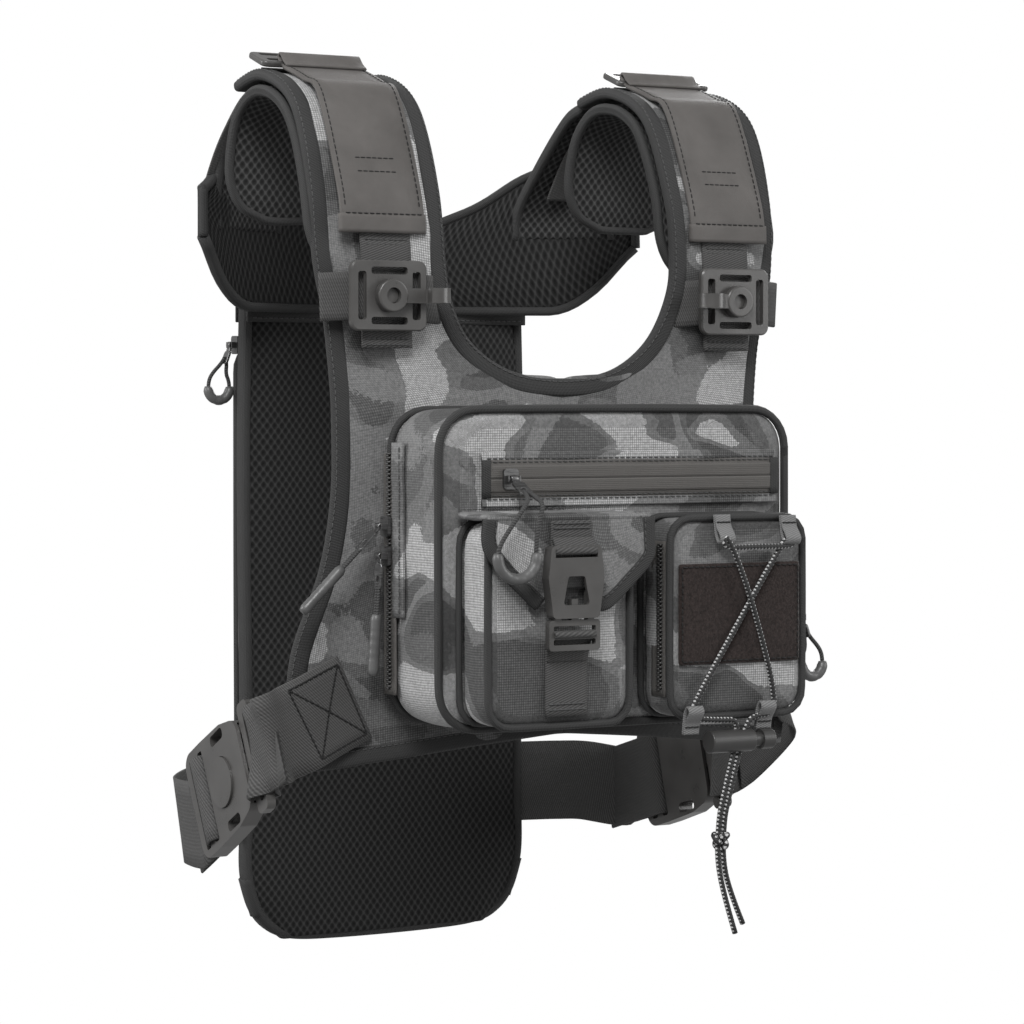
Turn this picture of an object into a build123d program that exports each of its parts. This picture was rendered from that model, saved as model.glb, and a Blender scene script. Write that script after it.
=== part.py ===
from build123d import *
from math import cos, radians, sin, tan
import os

# Safety harness vest with front pouches. Millimetres, +Z up, front towards -Y.
# The origin is the middle of the shoulder line, where the pads rest on the wearer.

os.makedirs("parts", exist_ok=True)

# --- driving dimensions -------------------------------------------------------

strap_x = 112            # centre of each shoulder strap from the middle
pad_width = 76
yoke_strap_x = 108
yoke_strap_width = 52
pad_thickness = 6
fabric = 5               # padded camouflage panel
webbing = 1.8            # thickness of woven webbing

bib_front_y = -110.5     # front face of the bib on the middle line
bib_radius = 770         # curve of the bib round the chest
bib_top_z = -112
bib_bottom_z = -386
neck_bottom_z = -172
armhole_x = 136
wing_x = 162

back_y = 98              # front face of the back panel
back_thickness = 14
back_half_width = 96
back_bottom_z = -512
band_z = -128            # seam between the yoke and the back panel
band_height = 16
yoke_radius = 225        # curve of the yoke round the shoulder blades

pouch_half_width = 112
pouch_back_y = -111.2
pouch_front_y = -170
pouch_top_z = -186
pouch_bottom_z = -360

pocket_top_z = -246
pocket_bottom_z = -355
left_pocket_x = (-101, -13)
left_pocket_y = -205
right_pocket_x = (12, 100)
right_pocket_y = -203
patch_z = (-326, -271)

wide_strap_width = 50
chest_webbing_width = 30
cross_webbing_width = 25
buckle_webbing_width = 25
waist_webbing_width = 50

clip_z = -127            # height of the hose clips
hook_bore = 11           # inside diameter of the hose clip's hook
hook_length = 8

bungee_diameter = 3
puller_cord = 2.5
puller_tube = 6


def save(builder, name):
    builder.part.label = name
    export_step(builder.part, "parts/" + name + ".step")


def save_pair(builder, name):
    """Write a left-hand piece and its mirror image on the right."""
    save(builder, name + "_left")
    with BuildPart() as other:
        mirror(builder.part, about=Plane.YZ)
    save(other, name + "_right")


def side_plane(x):
    """Plane across the body at x: sketch x is world Y, sketch y is world Z."""
    return Plane.YZ.offset(x)


def front_plane(y):
    """Plane facing the front at y: sketch x is world X, sketch y is world Z."""
    return Plane.XZ.offset(-y)


def curved_slab(front_y, thickness, radius, half_width, low, high, bulge):
    """Slab bent round the body, as tall as low to high; bulge is +1 on the back, -1 on the chest."""
    centre_y = front_y - bulge * radius
    inner = radius if bulge > 0 else radius - thickness
    spread = 2.4 * half_width / radius * 57.3
    middle = 90 * bulge
    with BuildSketch(Plane.XY.offset(low)) as profile:
        with BuildLine():
            near = CenterArc((0, centre_y), inner, middle - spread / 2, spread)
            far = CenterArc((0, centre_y), inner + thickness, middle - spread / 2, spread)
            Line(near @ 0, far @ 0)
            Line(near @ 1, far @ 1)
        make_face()
    extrude(profile.sketch, amount=high - low)


def band(points, radius, thickness, x_centre, width):
    """Flat strap that follows points in the side view, with its mid-surface on them."""
    with BuildSketch(side_plane(x_centre - width / 2)) as profile:
        with BuildLine():
            FilletPolyline(*points, radius=radius)
        trace(line_width=thickness)
    extrude(profile.sketch, amount=width)


# --- back panel, yoke, seam band and rear pocket --------------------------------

with BuildPart() as back_panel:
    with BuildSketch(front_plane(back_y)):
        with BuildLine():
            FilletPolyline(
                (-back_half_width + 2, band_z - 0.5),
                (-back_half_width, -190),
                (-back_half_width, -474),
                (-70, back_bottom_z),
                (70, back_bottom_z),
                (back_half_width, -474),
                (back_half_width, -190),
                (back_half_width - 2, band_z - 0.5),
                (-back_half_width + 2, band_z - 0.5),
                radius=20,
                close=True,
            )
        make_face()
    extrude(amount=-back_thickness)
save(back_panel, "back_panel")

with BuildPart() as back_yoke:
    curved_slab(back_y, 10, yoke_radius, 150, band_z + 0.3, -30, 1)
    with BuildSketch(front_plane(back_y + 20)):
        with BuildLine():
            Polyline(
                (-118, band_z),
                (118, band_z),
                (134, -108),
                (148, -84),
                (141, -53),
                (108, -36),
                (90, -42),
                (62, -64),
                (30, -78),
                (-30, -78),
                (-62, -64),
                (-90, -42),
                (-108, -36),
                (-141, -53),
                (-148, -84),
                (-134, -108),
                (-118, band_z),
            )
        make_face()
    extrude(amount=100, mode=Mode.INTERSECT)
save(back_yoke, "back_yoke")

with BuildPart() as seam_band:
    curved_slab(back_y - 1.9, 1.6, yoke_radius, 92, band_z + 0.6, band_z + band_height, 1)
    with BuildSketch(front_plane(back_y + 20)):
        with Locations((0, band_z + band_height / 2)):
            Rectangle(176, 60)
    extrude(amount=80, mode=Mode.INTERSECT)
save(seam_band, "seam_band")

with BuildPart() as back_pocket:
    with BuildSketch(front_plane(back_y + back_thickness + 0.3)):
        with Locations((0, -300)):
            RectangleRounded(184, 300, 24)
    extrude(amount=-12)
save(back_pocket, "back_pocket")

# --- shoulder parts: each is an arch in the side view ----------------------------

strap_line = [(-103, -113), (-98, -70), (-74, -18), (-34, -3), (2, -8)]
wide_line = [(-107.4, -88), (-104.2, -69), (-78.5, -13), (-37.5, 0.6)]
pad_line = [(-96, -112.3), (-91, -72), (-67, -24), (-34, -12), (-8, -22), (5, -44), (7, -80)]
yoke_line = [(55, -49), (43, -31.5), (21, -13), (5, -9)]

with BuildPart() as front_strap:
    band(strap_line, 26, fabric, -strap_x, pad_width)
save_pair(front_strap, "front_strap")

with BuildPart() as shoulder_pad:
    band(pad_line, 16, pad_thickness, -strap_x, pad_width)
    with BuildSketch(front_plane(-120)):
        with Locations((-strap_x, -64)):
            RectangleRounded(pad_width, 120, 22)
    extrude(amount=-200, mode=Mode.INTERSECT)
save_pair(shoulder_pad, "shoulder_pad")

with BuildPart() as yoke_strap:
    band(yoke_line, 24, fabric, -yoke_strap_x, yoke_strap_width)
save_pair(yoke_strap, "yoke_strap")

with BuildPart() as wide_strap:
    band(wide_line, 6, 2, -strap_x, wide_strap_width)
save_pair(wide_strap, "wide_strap")

ring_plane = Plane(origin=(-strap_x - 4, -24, 4.6), x_dir=(1, 0, 0), z_dir=(0, -0.34, 0.94))
with BuildPart() as shoulder_ring:
    with BuildSketch(ring_plane):
        RectangleRounded(64, 22, 4)
        with Locations((0, 5.5), (0, -5.5)):
            RectangleRounded(54, 4.6, 1.2, mode=Mode.SUBTRACT)
    extrude(amount=3.5)
    fillet(shoulder_ring.edges().filter_by(Axis.X).group_by(SortBy.LENGTH)[-1], 1.2)
    mirror(about=Plane.YZ)
save(shoulder_ring, "shoulder_rings")

chest_line = [(-108.6, -150), (-108.8, -118), (-107.8, -102), (-105.1, -92)]
with BuildPart() as chest_webbing:
    band(chest_line, 8, webbing, -strap_x + 2, chest_webbing_width)
    mirror(about=Plane.YZ)
save(chest_webbing, "chest_webbings")

with BuildPart() as cross_webbing:
    with BuildSketch(front_plane(-110.6)):
        with Locations((-strap_x, clip_z)):
            Rectangle(pad_width - 4, cross_webbing_width)
    extrude(amount=webbing)
    mirror(about=Plane.YZ)
save(cross_webbing, "cross_webbings")

# --- hose clips: fixed frame with four slots, and a hook that swivels on it -------

frame_y = -112.8
with BuildPart() as clip_frame:
    with BuildSketch(front_plane(frame_y)):
        with Locations((-strap_x, clip_z)):
            RectangleRounded(46, 38, 5)
            with GridLocations(33, 0, 2, 1):
                RectangleRounded(5, 26, 1.5, mode=Mode.SUBTRACT)
            with GridLocations(0, 27, 1, 2):
                RectangleRounded(22, 4, 1.5, mode=Mode.SUBTRACT)
    extrude(amount=3.6)
    chamfer(clip_frame.faces().sort_by(Axis.Y)[0].outer_wire().edges(), 0.8)
    with BuildSketch(front_plane(frame_y - 3.6)):
        with Locations((-strap_x, clip_z)):
            Circle(4)
    extrude(amount=2.4)
    mirror(about=Plane.YZ)
save(clip_frame, "clip_frames")

disc_y = frame_y - 3.6 - 0.3
hook_reach = 17
with BuildPart() as hose_clip:
    with BuildSketch(front_plane(disc_y)):
        with Locations((-strap_x, clip_z)):
            Circle(9)
            Circle(4.3, mode=Mode.SUBTRACT)
    extrude(amount=5)
    fillet(hose_clip.faces().sort_by(Axis.Y)[0].outer_wire().edges(), 1.2)
    with BuildSketch(front_plane(disc_y - 1.5)):
        with Locations((-strap_x + 13, clip_z)):
            Rectangle(14, hook_length)
    extrude(amount=3)
    hook_centre = (-strap_x + hook_reach + 6, disc_y - 4.5 - hook_bore / 2)
    with BuildSketch(Plane.XY.offset(clip_z - hook_length / 2)):
        with BuildLine():
            outer_arc = CenterArc(hook_centre, hook_bore / 2 + 2.2, 120, -255)
            inner_arc = CenterArc(hook_centre, hook_bore / 2, 120, -255)
            Line(outer_arc @ 0, inner_arc @ 0)
            Line(outer_arc @ 1, inner_arc @ 1)
        make_face()
    extrude(amount=hook_length)
save_pair(hose_clip, "hose_clip")

# --- bib: one padded panel across the chest ---------------------------------------

with BuildPart() as bib_panel:
    curved_slab(bib_front_y, fabric, bib_radius, 170, bib_bottom_z, bib_top_z - 1.5, -1)
    with BuildSketch(front_plane(0)):
        with BuildLine():
            Polyline(
                (-strap_x - pad_width / 2, bib_top_z),
                (-armhole_x - 2, -150),
                (-armhole_x, -240),
                (-armhole_x - 6, -272),
                (-wing_x + 8, -306),
                (-wing_x, -324),
                (-wing_x, bib_bottom_z),
                (-36, -368),
                (36, -368),
                (wing_x, bib_bottom_z),
                (wing_x, -324),
                (wing_x - 8, -306),
                (armhole_x + 6, -272),
                (armhole_x, -240),
                (armhole_x + 2, -150),
                (strap_x + pad_width / 2, bib_top_z),
                (strap_x - pad_width / 2, bib_top_z),
            )
            FilletPolyline(
                (strap_x - pad_width / 2, bib_top_z),
                (62, neck_bottom_z + 4),
                (0, neck_bottom_z),
                (-62, neck_bottom_z + 4),
                (-strap_x + pad_width / 2, bib_top_z),
                radius=34,
            )
            Line((-strap_x + pad_width / 2, bib_top_z), (-strap_x - pad_width / 2, bib_top_z))
        make_face()
    extrude(amount=160, mode=Mode.INTERSECT)
save(bib_panel, "bib_panel")

# --- waist buckles ------------------------------------------------------------------
# Each buckle lies in a plane at the wearer's side. Along it, +s points forward and up
# to the bib and -s backward and down to the back panel.


def waist_plane(x, y, z, rise):
    """Buckle plane on the left side: local x is along the strap, local z is outward."""
    along = (0, -cos(radians(rise)), sin(radians(rise)))
    return Plane(origin=(x, y, z), x_dir=along, z_dir=(-1, 0, 0))


buckle_sides = {
    "left": waist_plane(-170, -42, -395, 28),
    "right": waist_plane(158, 18, -411, 16),
}
buckle_depth = 10


def buckle_place(side, s, t, out):
    """Point of a buckle plane; out is towards the outside on both sides of the body."""
    sign = 1 if side == "left" else -1
    return buckle_sides[side].from_local_coords((s, t, out * sign))


def buckle_plane(side, out):
    sign = 1 if side == "left" else -1
    return buckle_sides[side].offset(out * sign)


def outward_amount(side, amount):
    return amount if side == "left" else -amount


for side in ("left", "right"):
    with BuildPart() as waist_plug:
        with BuildSketch(buckle_plane(side, 1.5)):
            with Locations((41, 0)):
                RectangleRounded(13, 64, 4)
            with Locations((42.5, 0)):
                RectangleRounded(4.5, 52, 1.5, mode=Mode.SUBTRACT)
            with Locations((19, 0)):
                Rectangle(32, 8)
            with Locations((20, 19), (20, -19)):
                Rectangle(30, 5)
            with Locations((4, 20), (4, -20)):
                RectangleRounded(8, 6.2, 2)
        extrude(amount=outward_amount(side, 5))
    save(waist_plug, "waist_plug_" + side)

    with BuildPart() as waist_housing:
        with BuildSketch(buckle_plane(side, -1)):
            with BuildLine():
                FilletPolyline(
                    (-38, -31),
                    (-14, -31),
                    (14, -30),
                    (34, -25),
                    (34, 25),
                    (14, 30),
                    (-14, 31),
                    (-38, 31),
                    (-38, -31),
                    radius=9,
                    close=True,
                )
            make_face()
        extrude(amount=outward_amount(side, buckle_depth))
        with BuildSketch(buckle_plane(side, 1.1)):
            with Locations((20, 0)):
                Rectangle(40, 47)
        extrude(amount=outward_amount(side, 5.8), mode=Mode.SUBTRACT)
        with BuildSketch(buckle_plane(side, -2)):
            with Locations((8, 25), (8, -25)):
                RectangleRounded(17, 6, 2.5)
            with Locations((-17, 0), (-29, 0)):
                RectangleRounded(6, 53, 1.5)
        extrude(amount=outward_amount(side, buckle_depth + 2), mode=Mode.SUBTRACT)
        with BuildSketch(buckle_plane(side, buckle_depth - 3)):
            with Locations((4, 0)):
                Circle(14.3)
        extrude(amount=outward_amount(side, 4), mode=Mode.SUBTRACT)
    save(waist_housing, "waist_housing_" + side)

    with BuildPart() as waist_disc:
        with BuildSketch(buckle_plane(side, buckle_depth - 2.9)):
            with Locations((4, 0)):
                Circle(14)
        extrude(amount=outward_amount(side, 3.2))
    save(waist_disc, "waist_disc_" + side)

    # The webbing held by the ladder bars: over the middle bar and back on itself.
    with BuildPart() as waist_loop:
        with BuildSketch(buckle_plane(side, buckle_depth - 0.7)):
            with Locations((-25, 0)):
                Rectangle(26, waist_webbing_width)
        extrude(amount=outward_amount(side, 2))
    save(waist_loop, "waist_loop_" + side)

# Webbing from the bib to each plug, and from the back panel to each ladder.
with BuildPart() as waist_patches:
    for side, sign, wing_height, reach in (("left", -1, -362, 54), ("right", 1, -350, 58)):
        sewn_end = Vector(sign * 129, -102.9, wing_height + 17)
        wing = Vector(sign * 166, -97.9, wing_height)
        plug_edge = Vector(buckle_place(side, reach, 0, 2))
        on_bib = (sewn_end, wing, Vector(sign * 0.19, -1, 0))
        to_plug = (wing, plug_edge, Vector(sign, 0, 0))
        for begin, finish, facing in (on_bib, to_plug):
            run = finish - begin
            across = run.cross(facing).normalized()
            face = Plane(origin=begin, x_dir=run.normalized(), z_dir=across.cross(run).normalized())
            with BuildSketch(face):
                with Locations((run.length / 2, 0)):
                    Rectangle(run.length, waist_webbing_width)
            extrude(amount=webbing / 2, both=True)
save(waist_patches, "waist_patches")

strap_z = -424
strap_ends = {-1: (-157, -6), 1: (148, 49)}
with BuildPart() as back_straps:
    for sign, end in strap_ends.items():
        with BuildSketch(Plane.XY.offset(strap_z - waist_webbing_width / 2)):
            with BuildLine():
                FilletPolyline((sign * (back_half_width + 1), 103), (sign * 135, 84), end, radius=24)
            trace(line_width=webbing)
        extrude(amount=waist_webbing_width)
save(back_straps, "back_straps")

# --- main pouch -----------------------------------------------------------------------

with BuildPart() as main_pouch:
    with BuildSketch(front_plane(pouch_back_y)):
        with Locations((0, (pouch_top_z + pouch_bottom_z) / 2)):
            RectangleRounded(2 * pouch_half_width, pouch_top_z - pouch_bottom_z, 20)
    extrude(amount=pouch_back_y - pouch_front_y)
    fillet(main_pouch.faces().sort_by(Axis.Y)[0].outer_wire().edges(), 4)
save(main_pouch, "main_pouch")

zip_z = -225
with BuildPart() as front_zip_tape:
    with BuildSketch(front_plane(pouch_front_y - 0.2)):
        with Locations((8, zip_z)):
            Rectangle(184, 20)
    extrude(amount=1)
    with BuildSketch(front_plane(pouch_front_y - 1.2)):
        with Locations((8, zip_z)):
            Rectangle(176, 5)
    extrude(amount=1.4)
save(front_zip_tape, "front_zip_tape")

gusset_zip_y = -118
with BuildPart() as main_zip_tape:
    with BuildSketch(side_plane(-pouch_half_width - 0.2)):
        with Locations((gusset_zip_y, -276)):
            Rectangle(12, 132)
    extrude(amount=-0.8)
    with BuildSketch(side_plane(-pouch_half_width - 1)):
        with Locations((gusset_zip_y, -276)):
            Rectangle(5, 130)
    extrude(amount=-1.4)
save(main_zip_tape, "main_zip_tape")

# --- left pocket with its flap and side-release buckle ---------------------------------

left_middle = (left_pocket_x[0] + left_pocket_x[1]) / 2
left_width = left_pocket_x[1] - left_pocket_x[0]
pocket_height = pocket_top_z - pocket_bottom_z
with BuildPart() as left_pocket:
    with BuildSketch(front_plane(pouch_front_y - 0.3)):
        with Locations((left_middle, (pocket_top_z + pocket_bottom_z) / 2)):
            RectangleRounded(left_width, pocket_height, 8)
    extrude(amount=pouch_front_y - 0.3 - left_pocket_y)
    fillet(left_pocket.faces().sort_by(Axis.Y)[0].outer_wire().edges(), 4)
save(left_pocket, "left_pocket")

flap_x = (-104, -4)
flap_thickness = 3.5
flap_z = -243.5          # middle of the flap's sewn top
flap_y = left_pocket_y - 3
buckle_x = -55
prong_top_z = -283
with BuildPart() as flap_top:
    with BuildSketch(front_plane(pouch_front_y - 1)):
        with Locations(((flap_x[0] + flap_x[1]) / 2, flap_z)):
            Rectangle(flap_x[1] - flap_x[0] - 4, flap_thickness)
    extrude(amount=pouch_front_y - 1 - flap_y - 4)
save(flap_top, "flap_top")

with BuildPart() as pocket_flap:
    with BuildSketch(front_plane(flap_y + flap_thickness / 2)):
        with Locations(((flap_x[0] + flap_x[1]) / 2, flap_z - 28)):
            Rectangle(flap_x[1] - flap_x[0], 60)
    extrude(amount=flap_thickness)
    with BuildSketch(front_plane(-160)):
        with BuildLine():
            FilletPolyline(
                (flap_x[0], -237),
                (flap_x[0], -261),
                (-72, -292),
                (-30, -292),
                (flap_x[1], -269),
                (flap_x[1], -237),
                (flap_x[0], -237),
                radius=10,
                close=True,
            )
        make_face()
    extrude(amount=60, mode=Mode.INTERSECT)
    # A notch behind the socket lets the flap swing up past the plug's prongs.
    with BuildSketch(front_plane(-160)):
        with Locations((buckle_x, prong_top_z - 4)):
            Rectangle(27, 11)
    extrude(amount=60, mode=Mode.SUBTRACT)
save(pocket_flap, "pocket_flap")

flap_front_y = left_pocket_y - 3 - flap_thickness / 2
with BuildPart() as flap_webbing:
    with BuildSketch(front_plane(flap_front_y - 0.1)):
        with Locations((buckle_x, -252.5)):
            Rectangle(buckle_webbing_width, 10)
    extrude(amount=webbing)
save(flap_webbing, "flap_webbing")

socket_y = flap_front_y - 0.3
socket_depth = 7
with BuildPart() as pocket_socket:
    with BuildSketch(front_plane(socket_y)):
        with BuildLine():
            FilletPolyline(
                (buckle_x - 15, -259),
                (buckle_x + 15, -259),
                (buckle_x + 17, -276),
                (buckle_x + 14, -297),
                (buckle_x - 14, -297),
                (buckle_x - 17, -276),
                (buckle_x - 15, -259),
                radius=2.5,
                close=True,
            )
        make_face()
        with Locations((buckle_x, -263.5)):
            Rectangle(25.6, 3.4, mode=Mode.SUBTRACT)
        with BuildLine():
            FilletPolyline(
                (buckle_x - 5, -275),
                (buckle_x + 5, -275),
                (buckle_x + 8, -290),
                (buckle_x - 8, -290),
                (buckle_x - 5, -275),
                radius=1.5,
                close=True,
            )
        make_face(mode=Mode.SUBTRACT)
    extrude(amount=socket_depth)
    # The channel for the plug is open at the back, so that the flap lifts off it.
    with BuildSketch(front_plane(socket_y)):
        with Locations((buckle_x, -285)):
            Rectangle(25.4, 30)
    extrude(amount=socket_depth - 2, mode=Mode.SUBTRACT)
save(pocket_socket, "pocket_socket")

plug_y = socket_y - 1
with BuildPart() as pocket_plug:
    with BuildSketch(front_plane(plug_y)):
        with Locations((buckle_x, -306)):
            RectangleRounded(31, 16, 2)
        with Locations((buckle_x, -302.5), (buckle_x, -309.5)):
            RectangleRounded(25.6, 3, 0.8, mode=Mode.SUBTRACT)
        with Locations((buckle_x, prong_top_z - 10)):
            Rectangle(4, 12)
        with Locations((buckle_x - 10, prong_top_z - 8), (buckle_x + 10, prong_top_z - 8)):
            Rectangle(4, 16)
    extrude(amount=4)
save(pocket_plug, "pocket_plug")

with BuildPart() as pocket_tail:
    with BuildSketch(front_plane(left_pocket_y - 0.2)):
        with Locations((buckle_x, -332)):
            Rectangle(buckle_webbing_width, 36)
    extrude(amount=webbing)
save(pocket_tail, "pocket_tail")

# --- right pocket with its patch ---------------------------------------------------------

right_middle = (right_pocket_x[0] + right_pocket_x[1]) / 2
right_width = right_pocket_x[1] - right_pocket_x[0]
with BuildPart() as right_pocket:
    with BuildSketch(front_plane(pouch_front_y - 0.3)):
        with Locations((right_middle, (pocket_top_z + pocket_bottom_z) / 2)):
            RectangleRounded(right_width, pocket_height, 12)
    extrude(amount=pouch_front_y - 0.3 - right_pocket_y)
    fillet(right_pocket.faces().sort_by(Axis.Y)[0].outer_wire().edges(), 4)
save(right_pocket, "right_pocket")

with BuildPart() as fleece_patch:
    with BuildSketch(front_plane(right_pocket_y - 0.2)):
        with Locations((right_middle, sum(patch_z) / 2)):
            Rectangle(right_width - 9, patch_z[1] - patch_z[0])
    extrude(amount=1.6)
save(fleece_patch, "fleece_patch")

# --- bungee lacing, its webbing tabs, the cord lock and the free tails --------------------

tabs = {"top_left": (44, -257), "top_right": (87, -258), "low_left": (24, -351), "low_right": (71, -350)}
lace_y = right_pocket_y - 3.8
with BuildPart() as lace_tabs:
    for tab_x, tab_z in tabs.values():
        height = 12 if tab_z > -300 else -12
        with BuildSketch(front_plane(right_pocket_y - 0.2)):
            with Locations((tab_x, tab_z + height / 2)):
                Rectangle(9, 12)
        extrude(amount=1.6)
save(lace_tabs, "lace_tabs")


def corner_radii(points, share=0.45):
    """Largest arc that each corner of a route can hold."""
    radii = []
    for before, corner, after in zip(points, points[1:], points[2:]):
        run_in = Vector(*corner) - Vector(*before)
        run_out = Vector(*after) - Vector(*corner)
        turn = radians(run_in.get_angle(run_out))
        radii.append(share * min(run_in.length, run_out.length) / tan(turn / 2))
    return radii


def tube(points, diameter, name):
    """Round cord along straight runs joined by tangent arcs."""
    radii = corner_radii(points)
    with BuildLine() as route:
        FilletPolyline(*points, radius=radii)
    start = route.wires()[0]
    with BuildSketch(Plane(origin=start @ 0, z_dir=start % 0)) as section:
        Circle(diameter / 2)
    sweep(section.sketch, path=start)
    print(name, "length", round(start.length, 1), "radii", [round(r, 1) for r in radii])
    return start.length


lock_slide = Vector(-0.27, 0, -0.963).normalized()
lock_side = Vector(lock_slide.Z, 0, -lock_slide.X) * -1
lock_centre = Vector(54, lace_y, -367.5)
cord_gap = 1.75


def beside_lock(distance, side):
    """Point distance below the lock's centre along the tails, on one of the two cords."""
    point = lock_centre + lock_slide * distance + lock_side * (side * cord_gap)
    return (point.X, point.Y, point.Z)


lace = [
    beside_lock(8, -1),
    beside_lock(-11, -1),
    (42, lace_y, -355.9),
    (24, lace_y, -354.6),
    (23, lace_y, -349),
    (49, lace_y, -310),
    (74, lace_y, -273),
    (86, lace_y - 0.3, -256),
    (90, lace_y - 0.6, -259.5),
    (87, lace_y - 1, -263),
    (66, lace_y - 2, -262.5),
    (45, lace_y - 2.6, -263),
    (41, lace_y - 3, -259),
    (44, lace_y - 3.2, -256),
    (55, lace_y - 3.4, -279),
    (64, lace_y - 3.6, -305),
    (73, lace_y - 2.4, -332),
    (77, lace_y - 0.6, -349.5),
    (74, lace_y, -354),
    (66, lace_y, -354.4),
    beside_lock(-11, 1),
    beside_lock(8, 1),
]
with BuildPart() as bungee_lace:
    lace_length = tube(lace, bungee_diameter, "bungee_lace")
save(bungee_lace, "bungee_lace")
print("bungee_lace volume", bungee_lace.part.volume / (3.14159 * 2.25 * lace_length))

tail_starts = {"left": -1, "right": 1}
tail_ends = {
    "left": [(43, lace_y - 1.5, -450), (50, lace_y - 2.5, -472)],
    "right": [(48, lace_y + 1, -448), (58, lace_y + 2, -468)],
}
knot_top = 45
knot_low = 66
for side, sign in tail_starts.items():
    route = [
        beside_lock(8, sign),
        beside_lock(36, sign),
        (42.6 + sign * 1.85, lace_y + sign * 0.2, -411.5),
        (41.6 + sign * 1.8, lace_y, -430.5),
    ] + tail_ends[side]
    with BuildPart() as tail:
        tail_length = tube(route, bungee_diameter, "bungee_tail_" + side)
    save(tail, "bungee_tail_" + side)
    print("volume ratio", tail.part.volume / (3.14159 * 2.25 * tail_length))

with BuildPart() as tail_knot:
    with BuildSketch(Plane(origin=(42.1, lace_y, -421), x_dir=(1, 0, -0.05), z_dir=(-0.05, 0, -1))):
        RectangleRounded(13, 10, 3)
        RectangleRounded(7.8, 4, 1.9, mode=Mode.SUBTRACT)
    extrude(amount=5.5, both=True)
save(tail_knot, "tail_knot")



def lock_plane(x):
    """Plane across the cord lock's barrel."""
    return Plane(origin=(x, lace_y, lock_centre.Z), z_dir=(1, 0, 0))


barrel_x = (34, 62)
with BuildPart() as cord_lock:
    with BuildSketch(lock_plane(barrel_x[0])):
        Circle(6.2)
    extrude(amount=barrel_x[1] - barrel_x[0])
    fillet(cord_lock.edges().filter_by(GeomType.CIRCLE), 0.8)
    with BuildSketch(lock_plane(barrel_x[0] + 2)):
        Circle(4.2)
    extrude(amount=40, mode=Mode.SUBTRACT)
    with BuildSketch(Plane(origin=lock_centre, x_dir=lock_side, z_dir=lock_slide)):
        RectangleRounded(7.4, 4, 1.9)
    extrude(amount=12, both=True, mode=Mode.SUBTRACT)
save(cord_lock, "cord_lock")

plunger_travel = 4.5
with BuildPart() as lock_plunger:
    with BuildSketch(lock_plane(barrel_x[0] + 13.5)):
        Circle(3.9)
    extrude(amount=20)
    with BuildSketch(lock_plane(barrel_x[1] + 5.5)):
        Circle(5.4)
    extrude(amount=8)
    fillet(lock_plunger.edges().filter_by(GeomType.CIRCLE).sort_by(Axis.X)[-1], 1)
    with BuildSketch(Plane(origin=lock_centre + Vector(2.2, 0, 0), x_dir=lock_side, z_dir=lock_slide)):
        RectangleRounded(11.8, 4, 1.9)
    extrude(amount=12, both=True, mode=Mode.SUBTRACT)
save(lock_plunger, "lock_plunger")

with BuildPart() as lock_spring:
    with BuildLine() as coil:
        Helix(pitch=1.8, height=10.2, radius=3, center=(barrel_x[0] + 2.6, lace_y, lock_centre.Z), direction=(1, 0, 0))
    with BuildSketch(Plane(origin=coil.line @ 0, z_dir=coil.line % 0)):
        Circle(0.4)
    sweep(path=coil.line, is_frenet=True)
save(lock_spring, "lock_spring")

# --- zip sliders and their pullers -----------------------------------------------------------
# A zip face has its origin on the teeth, x along the puller's pin, y up and z outwards.

pin_height = 4.6


def zip_slider(face):
    with BuildSketch(face.offset(0.3)) as base:
        RectangleRounded(9, 11, 2)
    extrude(base.sketch, amount=1.8)
    with BuildSketch(face.offset(2)) as cheeks:
        with Locations((3.4, 0), (-3.4, 0)):
            RectangleRounded(1, 3.6, 0.4)
    extrude(cheeks.sketch, amount=3.6)
    pin_start = Vector(face.from_local_coords((-3.4, 0, pin_height)))
    with BuildSketch(Plane(origin=pin_start, z_dir=face.x_dir)) as pin:
        Circle(0.7)
    extrude(pin.sketch, amount=6.8)


def puller_tab(face, tilt, length):
    """Metal tab curled round the slider's pin and leaning out by tilt degrees."""
    pin = Vector(face.from_local_coords((0, 0, pin_height)))
    down = face.y_dir * -cos(radians(tilt)) + face.z_dir * sin(radians(tilt))
    outward = face.z_dir * cos(radians(tilt)) + face.y_dir * sin(radians(tilt))
    curl = Plane(origin=pin - face.x_dir * 2.3, z_dir=face.x_dir)
    with BuildSketch(curl) as ring:
        Circle(2.1)
        Circle(1.1, mode=Mode.SUBTRACT)
    extrude(ring.sketch, amount=4.6)
    blade = Plane(origin=pin, x_dir=face.x_dir, z_dir=outward)
    toward = 1 if (blade.y_dir.dot(down)) > 0 else -1
    with BuildSketch(blade) as outline:
        with Locations((0, toward * 3.6)):
            Rectangle(4.6, 4.2)
        with Locations((0, toward * (4 + length) / 2)):
            RectangleRounded(7.5, length - 4, 1.5)
    extrude(outline.sketch, amount=0.7, both=True)
    return pin + down * (length - 1)


def cord_run(points, radius):
    with BuildLine() as run:
        if len(points) > 2:
            FilletPolyline(*points, radius=radius)
        else:
            Line(*points)
    path = run.wires()[0]
    with BuildSketch(Plane(origin=path @ 0, z_dir=path % 0)) as section:
        Circle(puller_cord / 2)
    sweep(section.sketch, path=path)


def bent_tube(centre, radius):
    """U-shaped rubber tube in the plane facing the front, open upwards."""
    with BuildLine(front_plane(centre[1])) as bend:
        CenterArc((centre[0], centre[2]), radius, 170, 200)
    with BuildSketch(Plane(origin=bend.line @ 0, z_dir=bend.line % 0)) as section:
        Circle(puller_tube / 2)
    sweep(section.sketch, path=bend.line)


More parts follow.
